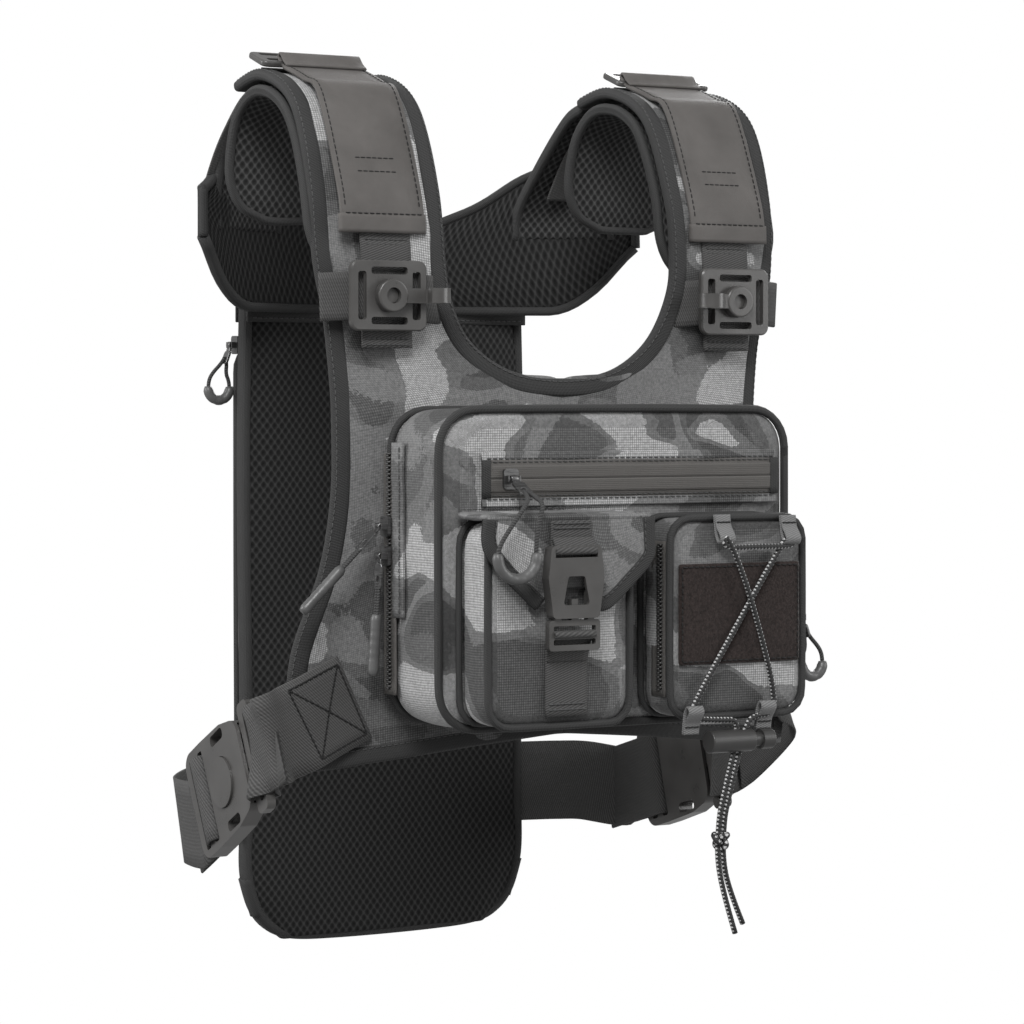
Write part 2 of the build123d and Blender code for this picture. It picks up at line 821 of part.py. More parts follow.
front_zip = Plane(origin=(-70, pouch_front_y - 2.6, zip_z), x_dir=(1, 0, 0), z_dir=(0, -1, 0))
upper_zip = Plane(origin=(-pouch_half_width - 2.4, gusset_zip_y, -251), x_dir=(0, -1, 0), z_dir=(-1, 0, 0))
lower_zip = Plane(origin=(-pouch_half_width - 2.4, gusset_zip_y, -267), x_dir=(0, -1, 0), z_dir=(-1, 0, 0))
side_zip = Plane(origin=(right_pocket_x[1] + 0.2, -192, -303), x_dir=(0, 1, 0), z_dir=(1, 0, 0))
rear_zip = Plane(origin=(-92.2, 118.3, -150), x_dir=(0, -1, 0), z_dir=(-1, 0, 0))

for name, face in (
    ("front", front_zip),
    ("upper", upper_zip),
    ("lower", lower_zip),
    ("side", side_zip),
    ("rear", rear_zip),
):
    with BuildPart() as slider:
        zip_slider(face)
    save(slider, name + "_zip_slider")

loop_y = -220.6
loop_z = -264
loop_lean = 23           # how far the front puller's loop hangs to the left
with BuildPart() as front_puller:
    tab_end = puller_tab(front_zip, 62, 17)
    for side in (-1, 1):
        cord_run(
            [
                (tab_end.X + side * 1.5, tab_end.Y, tab_end.Z + 0.6),
                (tab_end.X - loop_lean / 2 + side * 6, loop_y + 1, -236),
                (tab_end.X - loop_lean + side * 11.3, loop_y, loop_z + 2),
            ],
            5,
        )
    bent_tube((tab_end.X - loop_lean, loop_y, loop_z), 11.5)
save(front_puller, "front_zip_puller")

for name, face, tilt, tip in (("upper", upper_zip, 46, 33), ("lower", lower_zip, 4, 33)):
    with BuildPart() as puller:
        tab_end = puller_tab(face, tilt, 18)
        down = face.y_dir * -cos(radians(tilt)) + face.z_dir * sin(radians(tilt))
        tip_start = tab_end + down * 15
        cord_run([tab_end, tip_start], 1)
        with BuildSketch(Plane(origin=tip_start, z_dir=down)):
            Circle(puller_tube / 2)
        extrude(amount=tip)
    save(puller, name + "_zip_puller")

for name, face in (("side", side_zip), ("rear", rear_zip)):
    with BuildPart() as puller:
        tab_end = puller_tab(face, 20, 12)
        middle = tab_end.X + face.z_dir.X * 4
        for side in (-1, 1):
            cord_run(
                [
                    (tab_end.X + side * 1.2, tab_end.Y, tab_end.Z + 0.5),
                    (middle + side * 6.9, tab_end.Y, tab_end.Z - 15.2),
                ],
                3,
            )
        bent_tube((middle, tab_end.Y, tab_end.Z - 16), 7)
    save(puller, name + "_zip_puller")
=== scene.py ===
import math

import bpy
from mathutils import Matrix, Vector, noise


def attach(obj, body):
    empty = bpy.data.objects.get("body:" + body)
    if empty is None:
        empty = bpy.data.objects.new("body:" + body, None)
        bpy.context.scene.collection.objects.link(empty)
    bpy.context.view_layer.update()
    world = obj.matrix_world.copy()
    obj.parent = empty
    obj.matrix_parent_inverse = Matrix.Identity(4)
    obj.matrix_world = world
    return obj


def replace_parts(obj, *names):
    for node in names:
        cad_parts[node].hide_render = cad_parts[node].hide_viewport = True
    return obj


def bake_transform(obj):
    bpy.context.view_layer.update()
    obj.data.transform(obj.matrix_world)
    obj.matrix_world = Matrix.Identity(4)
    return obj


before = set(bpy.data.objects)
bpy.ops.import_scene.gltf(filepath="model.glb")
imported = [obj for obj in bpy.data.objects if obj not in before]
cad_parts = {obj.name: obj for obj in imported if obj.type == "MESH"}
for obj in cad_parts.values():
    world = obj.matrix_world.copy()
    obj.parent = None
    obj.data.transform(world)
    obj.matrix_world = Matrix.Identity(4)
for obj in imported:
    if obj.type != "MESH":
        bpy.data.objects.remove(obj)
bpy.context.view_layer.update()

# Safety harness vest: cloth, webbing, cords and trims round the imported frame.
# Lengths in this script are in millimetres unless a name says otherwise; MM turns them into metres.

MM = 0.001
BODY = "harness"
LEFT, RIGHT = -1, 1

# --- camera, light and floor ------------------------------------------------------

CAMERA_AZIMUTH = math.radians(-30)
CAMERA_ELEVATION = math.radians(2)
CAMERA_DISTANCE = 1900
CAMERA_TARGET = Vector((23.4, -13.5, -249))
CAMERA_LENS = 113.6
FLOOR_Z = -640


def make_camera():
    toward = Vector((
        math.sin(CAMERA_AZIMUTH) * math.cos(CAMERA_ELEVATION),
        -math.cos(CAMERA_AZIMUTH) * math.cos(CAMERA_ELEVATION),
        math.sin(CAMERA_ELEVATION),
    ))
    data = bpy.data.cameras.new("camera")
    data.lens = CAMERA_LENS
    camera = bpy.data.objects.new("camera", data)
    camera.location = (CAMERA_TARGET + toward * CAMERA_DISTANCE) * MM
    camera.rotation_euler = (-toward).to_track_quat("-Z", "Y").to_euler()
    bpy.context.collection.objects.link(camera)
    bpy.context.scene.camera = camera


def area_light(name, place, size, power):
    data = bpy.data.lights.new(name, "AREA")
    data.size = size
    data.energy = power
    lamp = bpy.data.objects.new(name, data)
    lamp.location = place
    lamp.rotation_euler = (Vector((0, 0, -0.25)) - Vector(place)).to_track_quat("-Z", "Y").to_euler()
    bpy.context.collection.objects.link(lamp)


def make_stage():
    world = bpy.data.worlds.new("studio")
    bpy.context.scene.world = world
    world.use_nodes = True
    tree = world.node_tree
    lighting = tree.nodes["Background"]
    lighting.inputs["Color"].default_value = (1, 1, 1, 1)
    lighting.inputs["Strength"].default_value = 0.45
    backdrop = tree.nodes.new("ShaderNodeBackground")
    backdrop.inputs["Color"].default_value = (1, 1, 1, 1)
    backdrop.inputs["Strength"].default_value = 1.0
    seen = tree.nodes.new("ShaderNodeLightPath")
    choose = tree.nodes.new("ShaderNodeMixShader")
    tree.links.new(seen.outputs["Is Camera Ray"], choose.inputs[0])
    tree.links.new(lighting.outputs[0], choose.inputs[1])
    tree.links.new(backdrop.outputs[0], choose.inputs[2])
    tree.links.new(choose.outputs[0], tree.nodes["World Output"].inputs["Surface"])
    half = 30
    mesh = bpy.data.meshes.new("floor")
    z = FLOOR_Z * MM
    corners = [(-half, -half, z), (half, -half, z), (half, half, z), (-half, half, z)]
    mesh.from_pydata(corners, [], [(0, 1, 2, 3)])
    floor = bpy.data.objects.new("floor", mesh)
    bpy.context.collection.objects.link(floor)
    material = bpy.data.materials.new("floor_paint")
    material.use_nodes = True
    shader = material.node_tree.nodes["Principled BSDF"]
    shader.inputs["Base Color"].default_value = (0, 0, 0, 1)
    shader.inputs["Specular IOR Level"].default_value = 0.0
    shader.inputs["Emission Color"].default_value = (1, 1, 1, 1)
    shader.inputs["Emission Strength"].default_value = 1.0
    mesh.materials.append(material)
    floor.visible_diffuse = False
    floor.visible_glossy = False
    area_light("key", (-1.2, -1.7, 1.5), 1.0, 66)
    area_light("fill", (1.9, -1.5, 0.3), 1.3, 24)
    area_light("rim_left", (-1.9, 0.7, 0.5), 1.0, 30)
    area_light("rim_right", (1.6, 1.4, 0.8), 1.0, 25)
    bpy.context.scene.view_settings.view_transform = "Standard"


make_camera()
make_stage()

# --- materials ------------------------------------------------------------------------


class Nodes:
    """Short names for building one material's node tree."""

    def __init__(self, name, roughness, specular=0.5):
        self.material = bpy.data.materials.new(name)
        self.material.use_nodes = True
        self.tree = self.material.node_tree
        self.shader = self.tree.nodes["Principled BSDF"]
        self.shader.inputs["Roughness"].default_value = roughness
        self.shader.inputs["Specular IOR Level"].default_value = specular

    def add(self, kind, **settings):
        node = self.tree.nodes.new(kind)
        for key, value in settings.items():
            setattr(node, key, value)
        return node

    def link(self, source, target):
        self.tree.links.new(source, target)

    def feed(self, node, key, value):
        if isinstance(value, bpy.types.NodeSocket):
            self.link(value, node.inputs[key])
        else:
            node.inputs[key].default_value = value

    def coordinates(self, kind="Object", scale=(1, 1, 1), rotation=0.0, location=(0, 0, 0)):
        source = self.add("ShaderNodeTexCoord")
        mapping = self.add("ShaderNodeMapping")
        mapping.inputs["Scale"].default_value = scale
        mapping.inputs["Rotation"].default_value = (0, 0, rotation)
        mapping.inputs["Location"].default_value = location
        self.link(source.outputs[kind], mapping.inputs["Vector"])
        return mapping.outputs["Vector"]

    def noise(self, vector, scale, detail=2.0, distortion=0.0, roughness=0.5):
        node = self.add("ShaderNodeTexNoise")
        self.link(vector, node.inputs["Vector"])
        for key, value in (("Scale", scale), ("Detail", detail), ("Distortion", distortion),
                           ("Roughness", roughness)):
            node.inputs[key].default_value = value
        return node.outputs["Fac"]

    def math(self, operation, a, b=0.0, clamp=False):
        node = self.add("ShaderNodeMath", operation=operation, use_clamp=clamp)
        self.feed(node, 0, a)
        self.feed(node, 1, b)
        return node.outputs[0]

    def split(self, vector):
        node = self.add("ShaderNodeSeparateXYZ")
        self.link(vector, node.inputs[0])
        return node.outputs["X"], node.outputs["Y"], node.outputs["Z"]

    def ramp(self, value, stops, interpolation="LINEAR"):
        node = self.add("ShaderNodeValToRGB")
        node.color_ramp.interpolation = interpolation
        elements = node.color_ramp.elements
        while len(elements) < len(stops):
            elements.new(0.5)
        for element, (place, tone) in zip(elements, stops):
            element.position = place
            element.color = (*tone, 1) if len(tone) == 3 else tone
        self.link(value, node.inputs["Fac"])
        return node.outputs["Color"]

    def mix(self, factor, a, b, blend="MIX"):
        node = self.add("ShaderNodeMix", data_type="RGBA", blend_type=blend)
        self.feed(node, "Factor", factor)
        self.feed(node, 6, a)
        self.feed(node, 7, b)
        return node.outputs[2]

    def waves(self, vector, pitch_x, pitch_y):
        """Plain weave: 0 in the gaps and 1 on top of the threads."""
        x, y, _ = self.split(vector)
        across = self.math("SINE", self.math("MULTIPLY", x, 2 * math.pi / (pitch_x * MM)))
        along = self.math("SINE", self.math("MULTIPLY", y, 2 * math.pi / (pitch_y * MM)))
        product = self.math("MULTIPLY", across, along)
        return self.math("ADD", self.math("MULTIPLY", product, 0.5), 0.5)

    def bump(self, height, distance, strength=1.0):
        node = self.add("ShaderNodeBump")
        node.inputs["Strength"].default_value = strength
        node.inputs["Distance"].default_value = distance * MM
        self.link(height, node.inputs["Height"])
        self.link(node.outputs["Normal"], self.shader.inputs["Normal"])
        return node

    def finish(self, color, sheen=0.0):
        self.feed(self.shader, "Base Color", color)
        if sheen:
            self.shader.inputs["Sheen Weight"].default_value = sheen
            self.shader.inputs["Sheen Roughness"].default_value = 0.4
        return self.material


def grey(value, warm=0.0):
    return (value * (1 + warm), value, value * (1 - warm))


def camouflage():
    """Four greys in wavy patches; the pale ones show a coarse diagonal weave."""
    n = Nodes("camouflage_cloth", 0.75, 0.16)
    place = n.coordinates("Object", (1.0, 1.0, 1.35), 0.0)
    big = n.noise(place, 13, 1.2, 0.5, 0.4)
    small = n.noise(n.coordinates("Object", (1.0, 1.0, 1.5), 0.0, (0.31, 0.17, 0.43)), 15, 1.2, 0.45, 0.4)
    fray = n.math("MULTIPLY", n.noise(n.coordinates("Object"), 520, 1.0), 0.03)
    big = n.math("ADD", big, fray)
    small = n.math("ADD", small, fray)
    dark_mid = n.ramp(big,
                      [(0.0, grey(0.034)), (0.43, grey(0.066)), (0.52, grey(0.13)), (0.62, grey(0.052))],
                      "CONSTANT")
    pale = n.math("GREATER_THAN", small, 0.60)
    middle = n.math("GREATER_THAN", small, 0.545)
    tones = n.mix(n.math("MULTIPLY", middle, 0.6), dark_mid, (*grey(0.13), 1))
    weave = n.waves(n.coordinates("UV", (1, 1, 1), math.radians(45)), 1.9, 1.9)
    fine = n.waves(n.coordinates("UV"), 0.9, 0.9)
    shown = n.math("ADD", n.math("MULTIPLY", pale, 0.66), 0.14)
    lift = n.math("MULTIPLY", n.math("POWER", weave, 2.0), shown)
    tones = n.mix(pale, tones, (*grey(0.19), 1))
    color = n.mix(lift, tones, (*grey(0.62), 1))
    color = n.mix(n.math("MULTIPLY", fine, 0.2), color, (*grey(0.10), 1))
    speck = n.noise(n.coordinates("Object"), 620, 3.0, 0.0, 0.7)
    color = n.mix(1.0, color, n.ramp(speck, [(0.3, grey(0.72)), (0.7, grey(1.28))]), "MULTIPLY")
    height = n.math("ADD", n.math("MULTIPLY", weave, 0.6), n.math("MULTIPLY", fine, 0.5))
    n.bump(height, 0.22, 0.7)
    return n.finish(color, 0.03)


def air_mesh(name="air_mesh", base=0.019, thread=0.066):
    """Spacer mesh: staggered oval holes in a near-black knit."""
    n = Nodes(name, 0.8, 0.15)
    place = n.coordinates("UV", (1 / (3.4 * MM), 1 / (4.6 * MM), 1), 0.0)
    cells = n.add("ShaderNodeTexVoronoi", voronoi_dimensions="2D")
    cells.inputs["Randomness"].default_value = 0.0
    cells.inputs["Scale"].default_value = 1.0
    turned = n.add("ShaderNodeMapping")
    turned.inputs["Rotation"].default_value = (0, 0, math.radians(45))
    n.link(place, turned.inputs["Vector"])
    n.link(turned.outputs["Vector"], cells.inputs["Vector"])
    hole = n.math("MULTIPLY", cells.outputs["Distance"], 1.6, True)
    fuzz = n.noise(n.coordinates("Object"), 900, 3.0)
    color = n.ramp(hole, [(0.25, grey(base * 0.3)), (0.6, grey(base)), (0.95, grey(thread))])
    color = n.mix(n.math("MULTIPLY", fuzz, 0.3), color, (*grey(thread * 0.7), 1))
    n.bump(hole, 0.8, 0.9)
    return n.finish(color)


def woven_tape(name, tone, pitch=1.1, warm=0.0, contrast=0.5, roughness=0.7):
    """Webbing or binding: ribs across the tape with a slight twill."""
    n = Nodes(name, roughness, 0.18)
    x, y, _ = n.split(n.coordinates("UV"))
    slanted = n.math("ADD", y, n.math("MULTIPLY", x, 0.35))
    rib = n.math("SINE", n.math("MULTIPLY", slanted, 2 * math.pi / (pitch * MM)))
    rib = n.math("ADD", n.math("MULTIPLY", rib, 0.5), 0.5)
    cross = n.math("SINE", n.math("MULTIPLY", x, 2 * math.pi / (pitch * 1.7 * MM)))
    cross = n.math("ADD", n.math("MULTIPLY", cross, 0.5), 0.5)
    worn = n.noise(n.coordinates("Object"), 60, 4.0, 0.0, 0.65)
    low = grey(tone * (1 - contrast), warm)
    high = grey(tone * (1 + contrast), warm)
    color = n.mix(n.math("MULTIPLY", rib, 0.8), (*low, 1), (*high, 1))
    color = n.mix(n.math("MULTIPLY", worn, 0.35), color, (*grey(tone * 1.5, warm), 1))
    n.bump(n.math("ADD", rib, n.math("MULTIPLY", cross, 0.4)), 0.25, 0.8)
    return n.finish(color, 0.03)


def strap_cloth():
    n = Nodes("strap_cloth", 0.6, 0.25)
    weave = n.waves(n.coordinates("UV"), 0.7, 0.7)
    worn = n.noise(n.coordinates("Object"), 35, 5.0, 0.3, 0.6)
    color = n.ramp(worn, [(0.3, (0.060, 0.056, 0.053)), (0.7, (0.092, 0.086, 0.082))])
    color = n.mix(n.math("MULTIPLY", weave, 0.3), color, (0.12, 0.113, 0.108, 1))
    n.bump(weave, 0.12, 0.7)
    return n.finish(color, 0.05)


def plastic(name, tone, warm=0.03, roughness=0.38):
    """Moulded plastic with a fine spark-eroded grain."""
    n = Nodes(name, roughness, 0.5)
    grain = n.noise(n.coordinates("Object"), 1400, 2.0)
    cloud = n.noise(n.coordinates("Object"), 45, 4.0)
    color = n.ramp(cloud, [(0.3, grey(tone * 0.85, warm)), (0.7, grey(tone * 1.2, warm))])
    n.bump(grain, 0.05, 0.5)
    rough = n.ramp(cloud, [(0.3, grey(roughness * 0.85)), (0.7, grey(roughness * 1.2))])
    n.link(rough, n.shader.inputs["Roughness"])
    return n.finish(color)


def metal(name, tone, roughness=0.32):
    n = Nodes(name, roughness, 0.5)
    n.shader.inputs["Metallic"].default_value = 0.9
    scratches = n.noise(n.coordinates("Object", (1, 1, 14)), 160, 4.0)
    color = n.ramp(scratches, [(0.3, grey(tone * 0.8)), (0.7, grey(tone * 1.25))])
    rough = n.ramp(scratches, [(0.3, grey(roughness * 0.8)), (0.7, grey(roughness * 1.3))])
    n.link(rough, n.shader.inputs["Roughness"])
    n.bump(scratches, 0.03, 0.4)
    return n.finish(color)


def fleece():
    """Hook-and-loop fleece: short brushed loops."""
    n = Nodes("loop_fleece", 0.95, 0.1)
    tuft = n.noise(n.coordinates("Object"), 700, 4.0, 0.4, 0.7)
    lump = n.noise(n.coordinates("Object"), 120, 3.0)
    color = n.ramp(tuft, [(0.3, (0.008, 0.006, 0.0055)), (0.7, (0.040, 0.030, 0.028))])
    color = n.mix(n.math("MULTIPLY", lump, 0.4), color, (0.022, 0.017, 0.016, 1))
    n.bump(tuft, 0.6, 0.9)
    return n.finish(color, 0.3)


def braid():
    """Bungee cover: black braid with pale tracer threads, laid out on the tube's UVs."""
    n = Nodes("bungee_cord", 0.6, 0.3)
    x, y, _ = n.split(n.coordinates("UV"))
    turn = n.math("MULTIPLY", x, 2 * math.pi / (9.42 * MM))
    climb = n.math("MULTIPLY", y, 2 * math.pi / (4.4 * MM))
    one = n.math("SINE", n.math("ADD", turn, climb))
    two = n.math("SINE", n.math("SUBTRACT", climb, turn))
    strand = n.math("MULTIPLY", one, two)
    dots = n.math("GREATER_THAN", strand, 0.35)
    fibre = n.noise(n.coordinates("Object"), 900, 2.0)
    color = n.mix(dots, (*grey(0.012), 1), (*grey(0.55), 1))
    color = n.mix(n.math("MULTIPLY", fibre, 0.25), color, (*grey(0.1), 1))
    n.bump(strand, 0.25, 0.7)
    return n.finish(color)


CAMO = camouflage()
MESH = air_mesh()
LINING = air_mesh("mesh_lining", 0.014, 0.040)
BINDING = woven_tape("binding_tape", 0.036, 0.9)
WEBBING = woven_tape("dark_webbing", 0.060, 1.25, 0.01)
PALE_WEBBING = woven_tape("light_webbing", 0.15, 1.1, 0.0, 0.3)
TAPE = woven_tape("zip_tape", 0.085, 0.6, 0.05, 0.12, 0.5)
STRAP = strap_cloth()
PLASTIC = plastic("buckle_plastic", 0.055, 0.03, 0.30)
DARK_PLASTIC = plastic("dark_plastic", 0.032, 0.02, 0.36)
METAL = metal("gunmetal", 0.16)
STEEL = metal("spring_steel", 0.5, 0.25)
RUBBER = plastic("puller_rubber", 0.075, 0.0, 0.42)
THREAD = woven_tape("thread", 0.075, 0.5)
DARK_THREAD = woven_tape("dark_thread", 0.022, 0.5)
FLEECE = fleece()
BRAID = braid()

# --- mesh helpers ------------------------------------------------------------------------


def through(points, step=2.0, closed=False):
    """Points every step millimetres along a smooth curve through the given ones."""
    points = [Vector(p) for p in points]
    count = len(points)
    spans = count if closed else count - 1
    dense = []
    for i in range(spans):
        if closed:
            a, b, c, d = (points[(i + k - 1) % count] for k in range(4))
        else:
            a, b, c, d = (points[min(max(i + k - 1, 0), count - 1)] for k in range(4))
        pieces = max(2, int((c - b).length / step * 1.5))
        for k in range(pieces):
            t = k / pieces
            dense.append(0.5 * (
                2 * b + (c - a) * t + (2 * a - 5 * b + 4 * c - d) * t * t + (3 * b - a - 3 * c + d) * t ** 3
            ))
    if not closed:
        dense.append(points[-1])
    return even(dense, step, closed)


def even(points, step, closed=False):
    """The same path with evenly spaced points."""
    path = list(points) + ([points[0]] if closed else [])
    lengths = [0.0]
    for a, b in zip(path, path[1:]):
        lengths.append(lengths[-1] + (b - a).length)
    count = max(2, round(lengths[-1] / step))
    result = []
    index = 0
    for k in range(count if closed else count + 1):
        target = lengths[-1] * k / count
        while index < len(path) - 2 and lengths[index + 1] < target:
            index += 1
        span = lengths[index + 1] - lengths[index] or 1.0
        result.append(path[index].lerp(path[index + 1], (target - lengths[index]) / span))
    return result


def rounded_section(width, height, corner=None, turns=3):
    """Outline of a flat section with rounded corners."""
    corner = min(width, height) / 2 if corner is None else corner
    outline = []
    for start, cx, cy in (
        (0, width / 2 - corner, height / 2 - corner),
        (90, -width / 2 + corner, height / 2 - corner),
        (180, -width / 2 + corner, -height / 2 + corner),
        (270, width / 2 - corner, -height / 2 + corner),
    ):
        for k in range(turns + 1):
            angle = math.radians(start + 90 * k / turns)
            outline.append((cx + corner * math.cos(angle), cy + corner * math.sin(angle)))
    return outline


def round_section(diameter, sides=10):
    return [
        (diameter / 2 * math.cos(2 * math.pi * k / sides), diameter / 2 * math.sin(2 * math.pi * k / sides))
        for k in range(sides)
    ]


def strap_section(width, thickness, cuts=6):
    """Outline of webbing: long faces with several points."""
    top = [(width / 2 - width * k / cuts, thickness / 2) for k in range(cuts + 1)]
    low = [(-width / 2 + width * k / cuts, -thickness / 2) for k in range(cuts + 1)]
    return [(width / 2 + thickness * 0.3, 0), *top, (-width / 2 - thickness * 0.3, 0), *low]


def new_piece(name, vertices, faces, material, uvs=None, body=BODY, smooth=True):
    """Mesh object from millimetre vertices that rides on a body."""
    mesh = bpy.data.meshes.new(name)
    mesh.from_pydata([Vector(v) * MM for v in vertices], [], faces)
    mesh.validate()
    layer = mesh.uv_layers.new(name="UVMap")
    if uvs:
        for loop in mesh.loops:
            layer.data[loop.index].uv = uvs[loop.vertex_index]
    for polygon in mesh.polygons:
        polygon.use_smooth = smooth
    mesh.materials.append(material)
    piece = bpy.data.objects.new(name, mesh)
    bpy.context.collection.objects.link(piece)
    if body:
        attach(piece, body)
    return piece


def constant(vector):
    vector = Vector(vector)
    return lambda index, point: vector


def sweep_mesh(points, section, normal, closed=False):
    """Vertices, faces and UVs of a section carried along points. The section's x is across the normal."""
    points = [Vector(p) for p in points]
    count, size = len(points), len(section)
    vertices, uvs = [], []
    around = [0.0]
    for (ax, ay), (bx, by) in zip(section, section[1:]):
        around.append(around[-1] + math.hypot(bx - ax, by - ay))
    travelled = 0.0
    for i, point in enumerate(points):
        before = points[i - 1] if (i or closed) else points[0]
        after = points[(i + 1) % count] if (i < count - 1 or closed) else points[-1]
        tangent = (after - before).normalized()
        up = normal(i, point)
        side = tangent.cross(up).normalized()
        up = side.cross(tangent).normalized()
        if i:
            travelled += (point - points[i - 1]).length
        for k, (a, b) in enumerate(section):
            vertices.append(point + side * a + up * b)
            uvs.append((around[k] * MM, travelled * MM))
    faces = []
    for i in range(count if closed else count - 1):
        for k in range(size):
            a, b = i * size + k, i * size + (k + 1) % size
            c, d = ((i + 1) % count) * size + (k + 1) % size, ((i + 1) % count) * size + k
            faces.append((a, b, c, d))
    if not closed:
        faces.append(tuple(reversed(range(size))))
        faces.append(tuple((count - 1) * size + k for k in range(size)))
    return vertices, faces, uvs


def sweep(name, points, section, material, normal, body=BODY, closed=False):
    vertices, faces, uvs = sweep_mesh(points, section, normal, closed)
    return new_piece(name, vertices, faces, material, uvs, body)


def merged(name, parts, material, body=BODY, smooth=True):
    """One piece from several (vertices, faces, uvs)."""
    vertices, faces, uvs = [], [], []
    for part_vertices, part_faces, part_uvs in parts:
        base = len(vertices)
        vertices += part_vertices
        uvs += part_uvs
        faces += [tuple(base + k for k in face) for face in part_faces]
    return new_piece(name, vertices, faces, material, uvs, body, smooth)


def stitch_parts(points, normal, pitch=3.6, length=2.5, width=0.7, lift=0.15):
    """A row of short raised threads along a path."""
    path = even([Vector(p) for p in points], pitch)
    section = round_section(width, 6)
    parts = []
    for i, (a, b) in enumerate(zip(path, path[1:])):
        along = (b - a).normalized()
        up = normal(i, a)
        middle = (a + b) / 2 + up * lift
        half = along * length / 2
        low = up * width * 0.5
        line = [middle - half - low, middle - half * 0.6, middle + half * 0.6, middle + half - low]
        parts.append(sweep_mesh(line, section, constant(up)))
    return parts


def slab(name, surface, columns, rows, half_thickness, material, body=BODY, back_material=None,
         subdivide=1):
    """Closed padded sheet. surface(u, v) is its middle; half_thickness(u, v) is half its depth there."""
    front, back, uvs = [], [], []
    grid = [[surface(i / columns, j / rows) for i in range(columns + 1)] for j in range(rows + 1)]
    for j in range(rows + 1):
        for i in range(columns + 1):
            du = grid[j][min(i + 1, columns)] - grid[j][max(i - 1, 0)]
            dv = grid[min(j + 1, rows)][i] - grid[max(j - 1, 0)][i]
            normal = du.cross(dv).normalized()
            depth = half_thickness(i / columns, j / rows)
            front.append(grid[j][i] + normal * depth)
            back.append(grid[j][i] - normal * depth)
    for j in range(rows + 1):
        run = 0.0
        for i in range(columns + 1):
            if i:
                run += (grid[j][i] - grid[j][i - 1]).length
            middle = columns // 2
            offset = (grid[j][middle] - grid[j][0]).length
            uvs.append(((run - offset) * MM, 0.0))
    climb = 0.0
    for j in range(rows + 1):
        if j:
            climb += (grid[j][columns // 2] - grid[j - 1][columns // 2]).length
        for i in range(columns + 1):
            uvs[j * (columns + 1) + i] = (uvs[j * (columns + 1) + i][0], climb * MM)
    width = columns + 1
    size = len(front)
    faces = []
    materials = []
    for j in range(rows):
        for i in range(columns):
            a, b, c, d = j * width + i, j * width + i + 1, (j + 1) * width + i + 1, (j + 1) * width + i
            faces.append((a, b, c, d))
            materials.append(0)
            faces.append((size + d, size + c, size + b, size + a))
            materials.append(1)
    rim = [*range(width)]
    rim += [j * width + columns for j in range(1, rows + 1)]
    rim += [rows * width + i for i in range(columns - 1, -1, -1)]
    rim += [j * width for j in range(rows - 1, 0, -1)]
    for a, b in zip(rim, rim[1:] + rim[:1]):
        faces.append((b, a, size + a, size + b))
        materials.append(0)
    piece = new_piece(name, front + back, faces, material, uvs + uvs, body)
    if back_material:
        piece.data.materials.append(back_material)
        for polygon, index in zip(piece.data.polygons, materials):
            polygon.material_index = index
    if subdivide:
        modifier = piece.modifiers.new("smooth", "SUBSURF")
        modifier.levels = subdivide
        modifier.render_levels = subdivide
    return piece


def ripple(point, size, amount, seed=0.0):
    """Soft creases: a smooth random offset that depends only on the place."""
    return noise.noise(Vector(point) / size + Vector((seed, seed * 2.3, 0))) * amount


def smoothstep(value):
    value = min(max(value, 0.0), 1.0)
    return value * value * (3 - 2 * value)


def between(table, value):
    """Straight-line lookup in ((place, result), ...) sorted by place."""
    if value <= table[0][0]:
        return table[0][1]
    for (a, fa), (b, fb) in zip(table, table[1:]):
        if value <= b:
            return fa + (fb - fa) * (value - a) / (b - a)
    return table[-1][1]


def eased(table, value, reach=9):
    """Lookup with its corners rounded over reach to either side."""
    samples = [between(table, abs(value + reach * k / 4)) for k in range(-4, 5)]
    return sum(samples) / len(samples)


def curve_at(points, t):
    """Point at t (0 to 1) along a smooth curve through points, which are evenly spread in t."""
    spans = len(points) - 1
    place = min(max(t, 0.0), 1.0) * spans
    i = min(int(place), spans - 1)
    f = place - i
    a, b, c, d = (Vector(points[min(max(i + k - 1, 0), spans)]) for k in range(4))
    return 0.5 * (2 * b + (c - a) * f + (2 * a - 5 * b + 4 * c - d) * f * f
                  + (3 * b - a - 3 * c + d) * f ** 3)


# --- bib and front shoulder straps ------------------------------------------------------------
# The bib is laid out flat as (x, s): s is the height on the chest, and above STRAP_START it
# runs on along the shoulder arch.

STRAP_X = 112
YOKE_STRAP_X = 108
YOKE_RADIUS = 225
YOKE_CENTRE_Y = 103 - YOKE_RADIUS
STRAP_START = -113
BIB_MIDDLE_Y = -108
BIB_SPREAD = 1540
STRAP_ARCH = through([(0, -103, -113), (0, -98, -70), (0, -76, -22), (0, -36, -3.4), (0, 2, -8)], 2)
OUTER_EDGE = [
    (-162, -386), (-162, -350), (-158, -318), (-143, -275), (-136.5, -235), (-136, -195), (-137.5, -168),
    (-141, -140), (-147, -113), (-149, -85), (-149.5, -40), (-149.5, 10), (-149, 62),
]
INNER_EDGE = [
    (0, -368), (0, -320), (0, -270), (0, -225), (0, -195), (0, -172), (-33, -167.5),
    (-58, -151), (-71, -126), (-74.5, -98), (-74.5, -45), (-74.5, 10), (-74.5, 62),
]


def arch_point(arch, distance):
    """(y, z) at a distance along an arch made by through(step=2)."""
    place = min(max(distance / 2.0, 0.0), len(arch) - 1.001)
    i = int(place)
    point = arch[i].lerp(arch[i + 1], place - i)
    return point.y, point.z


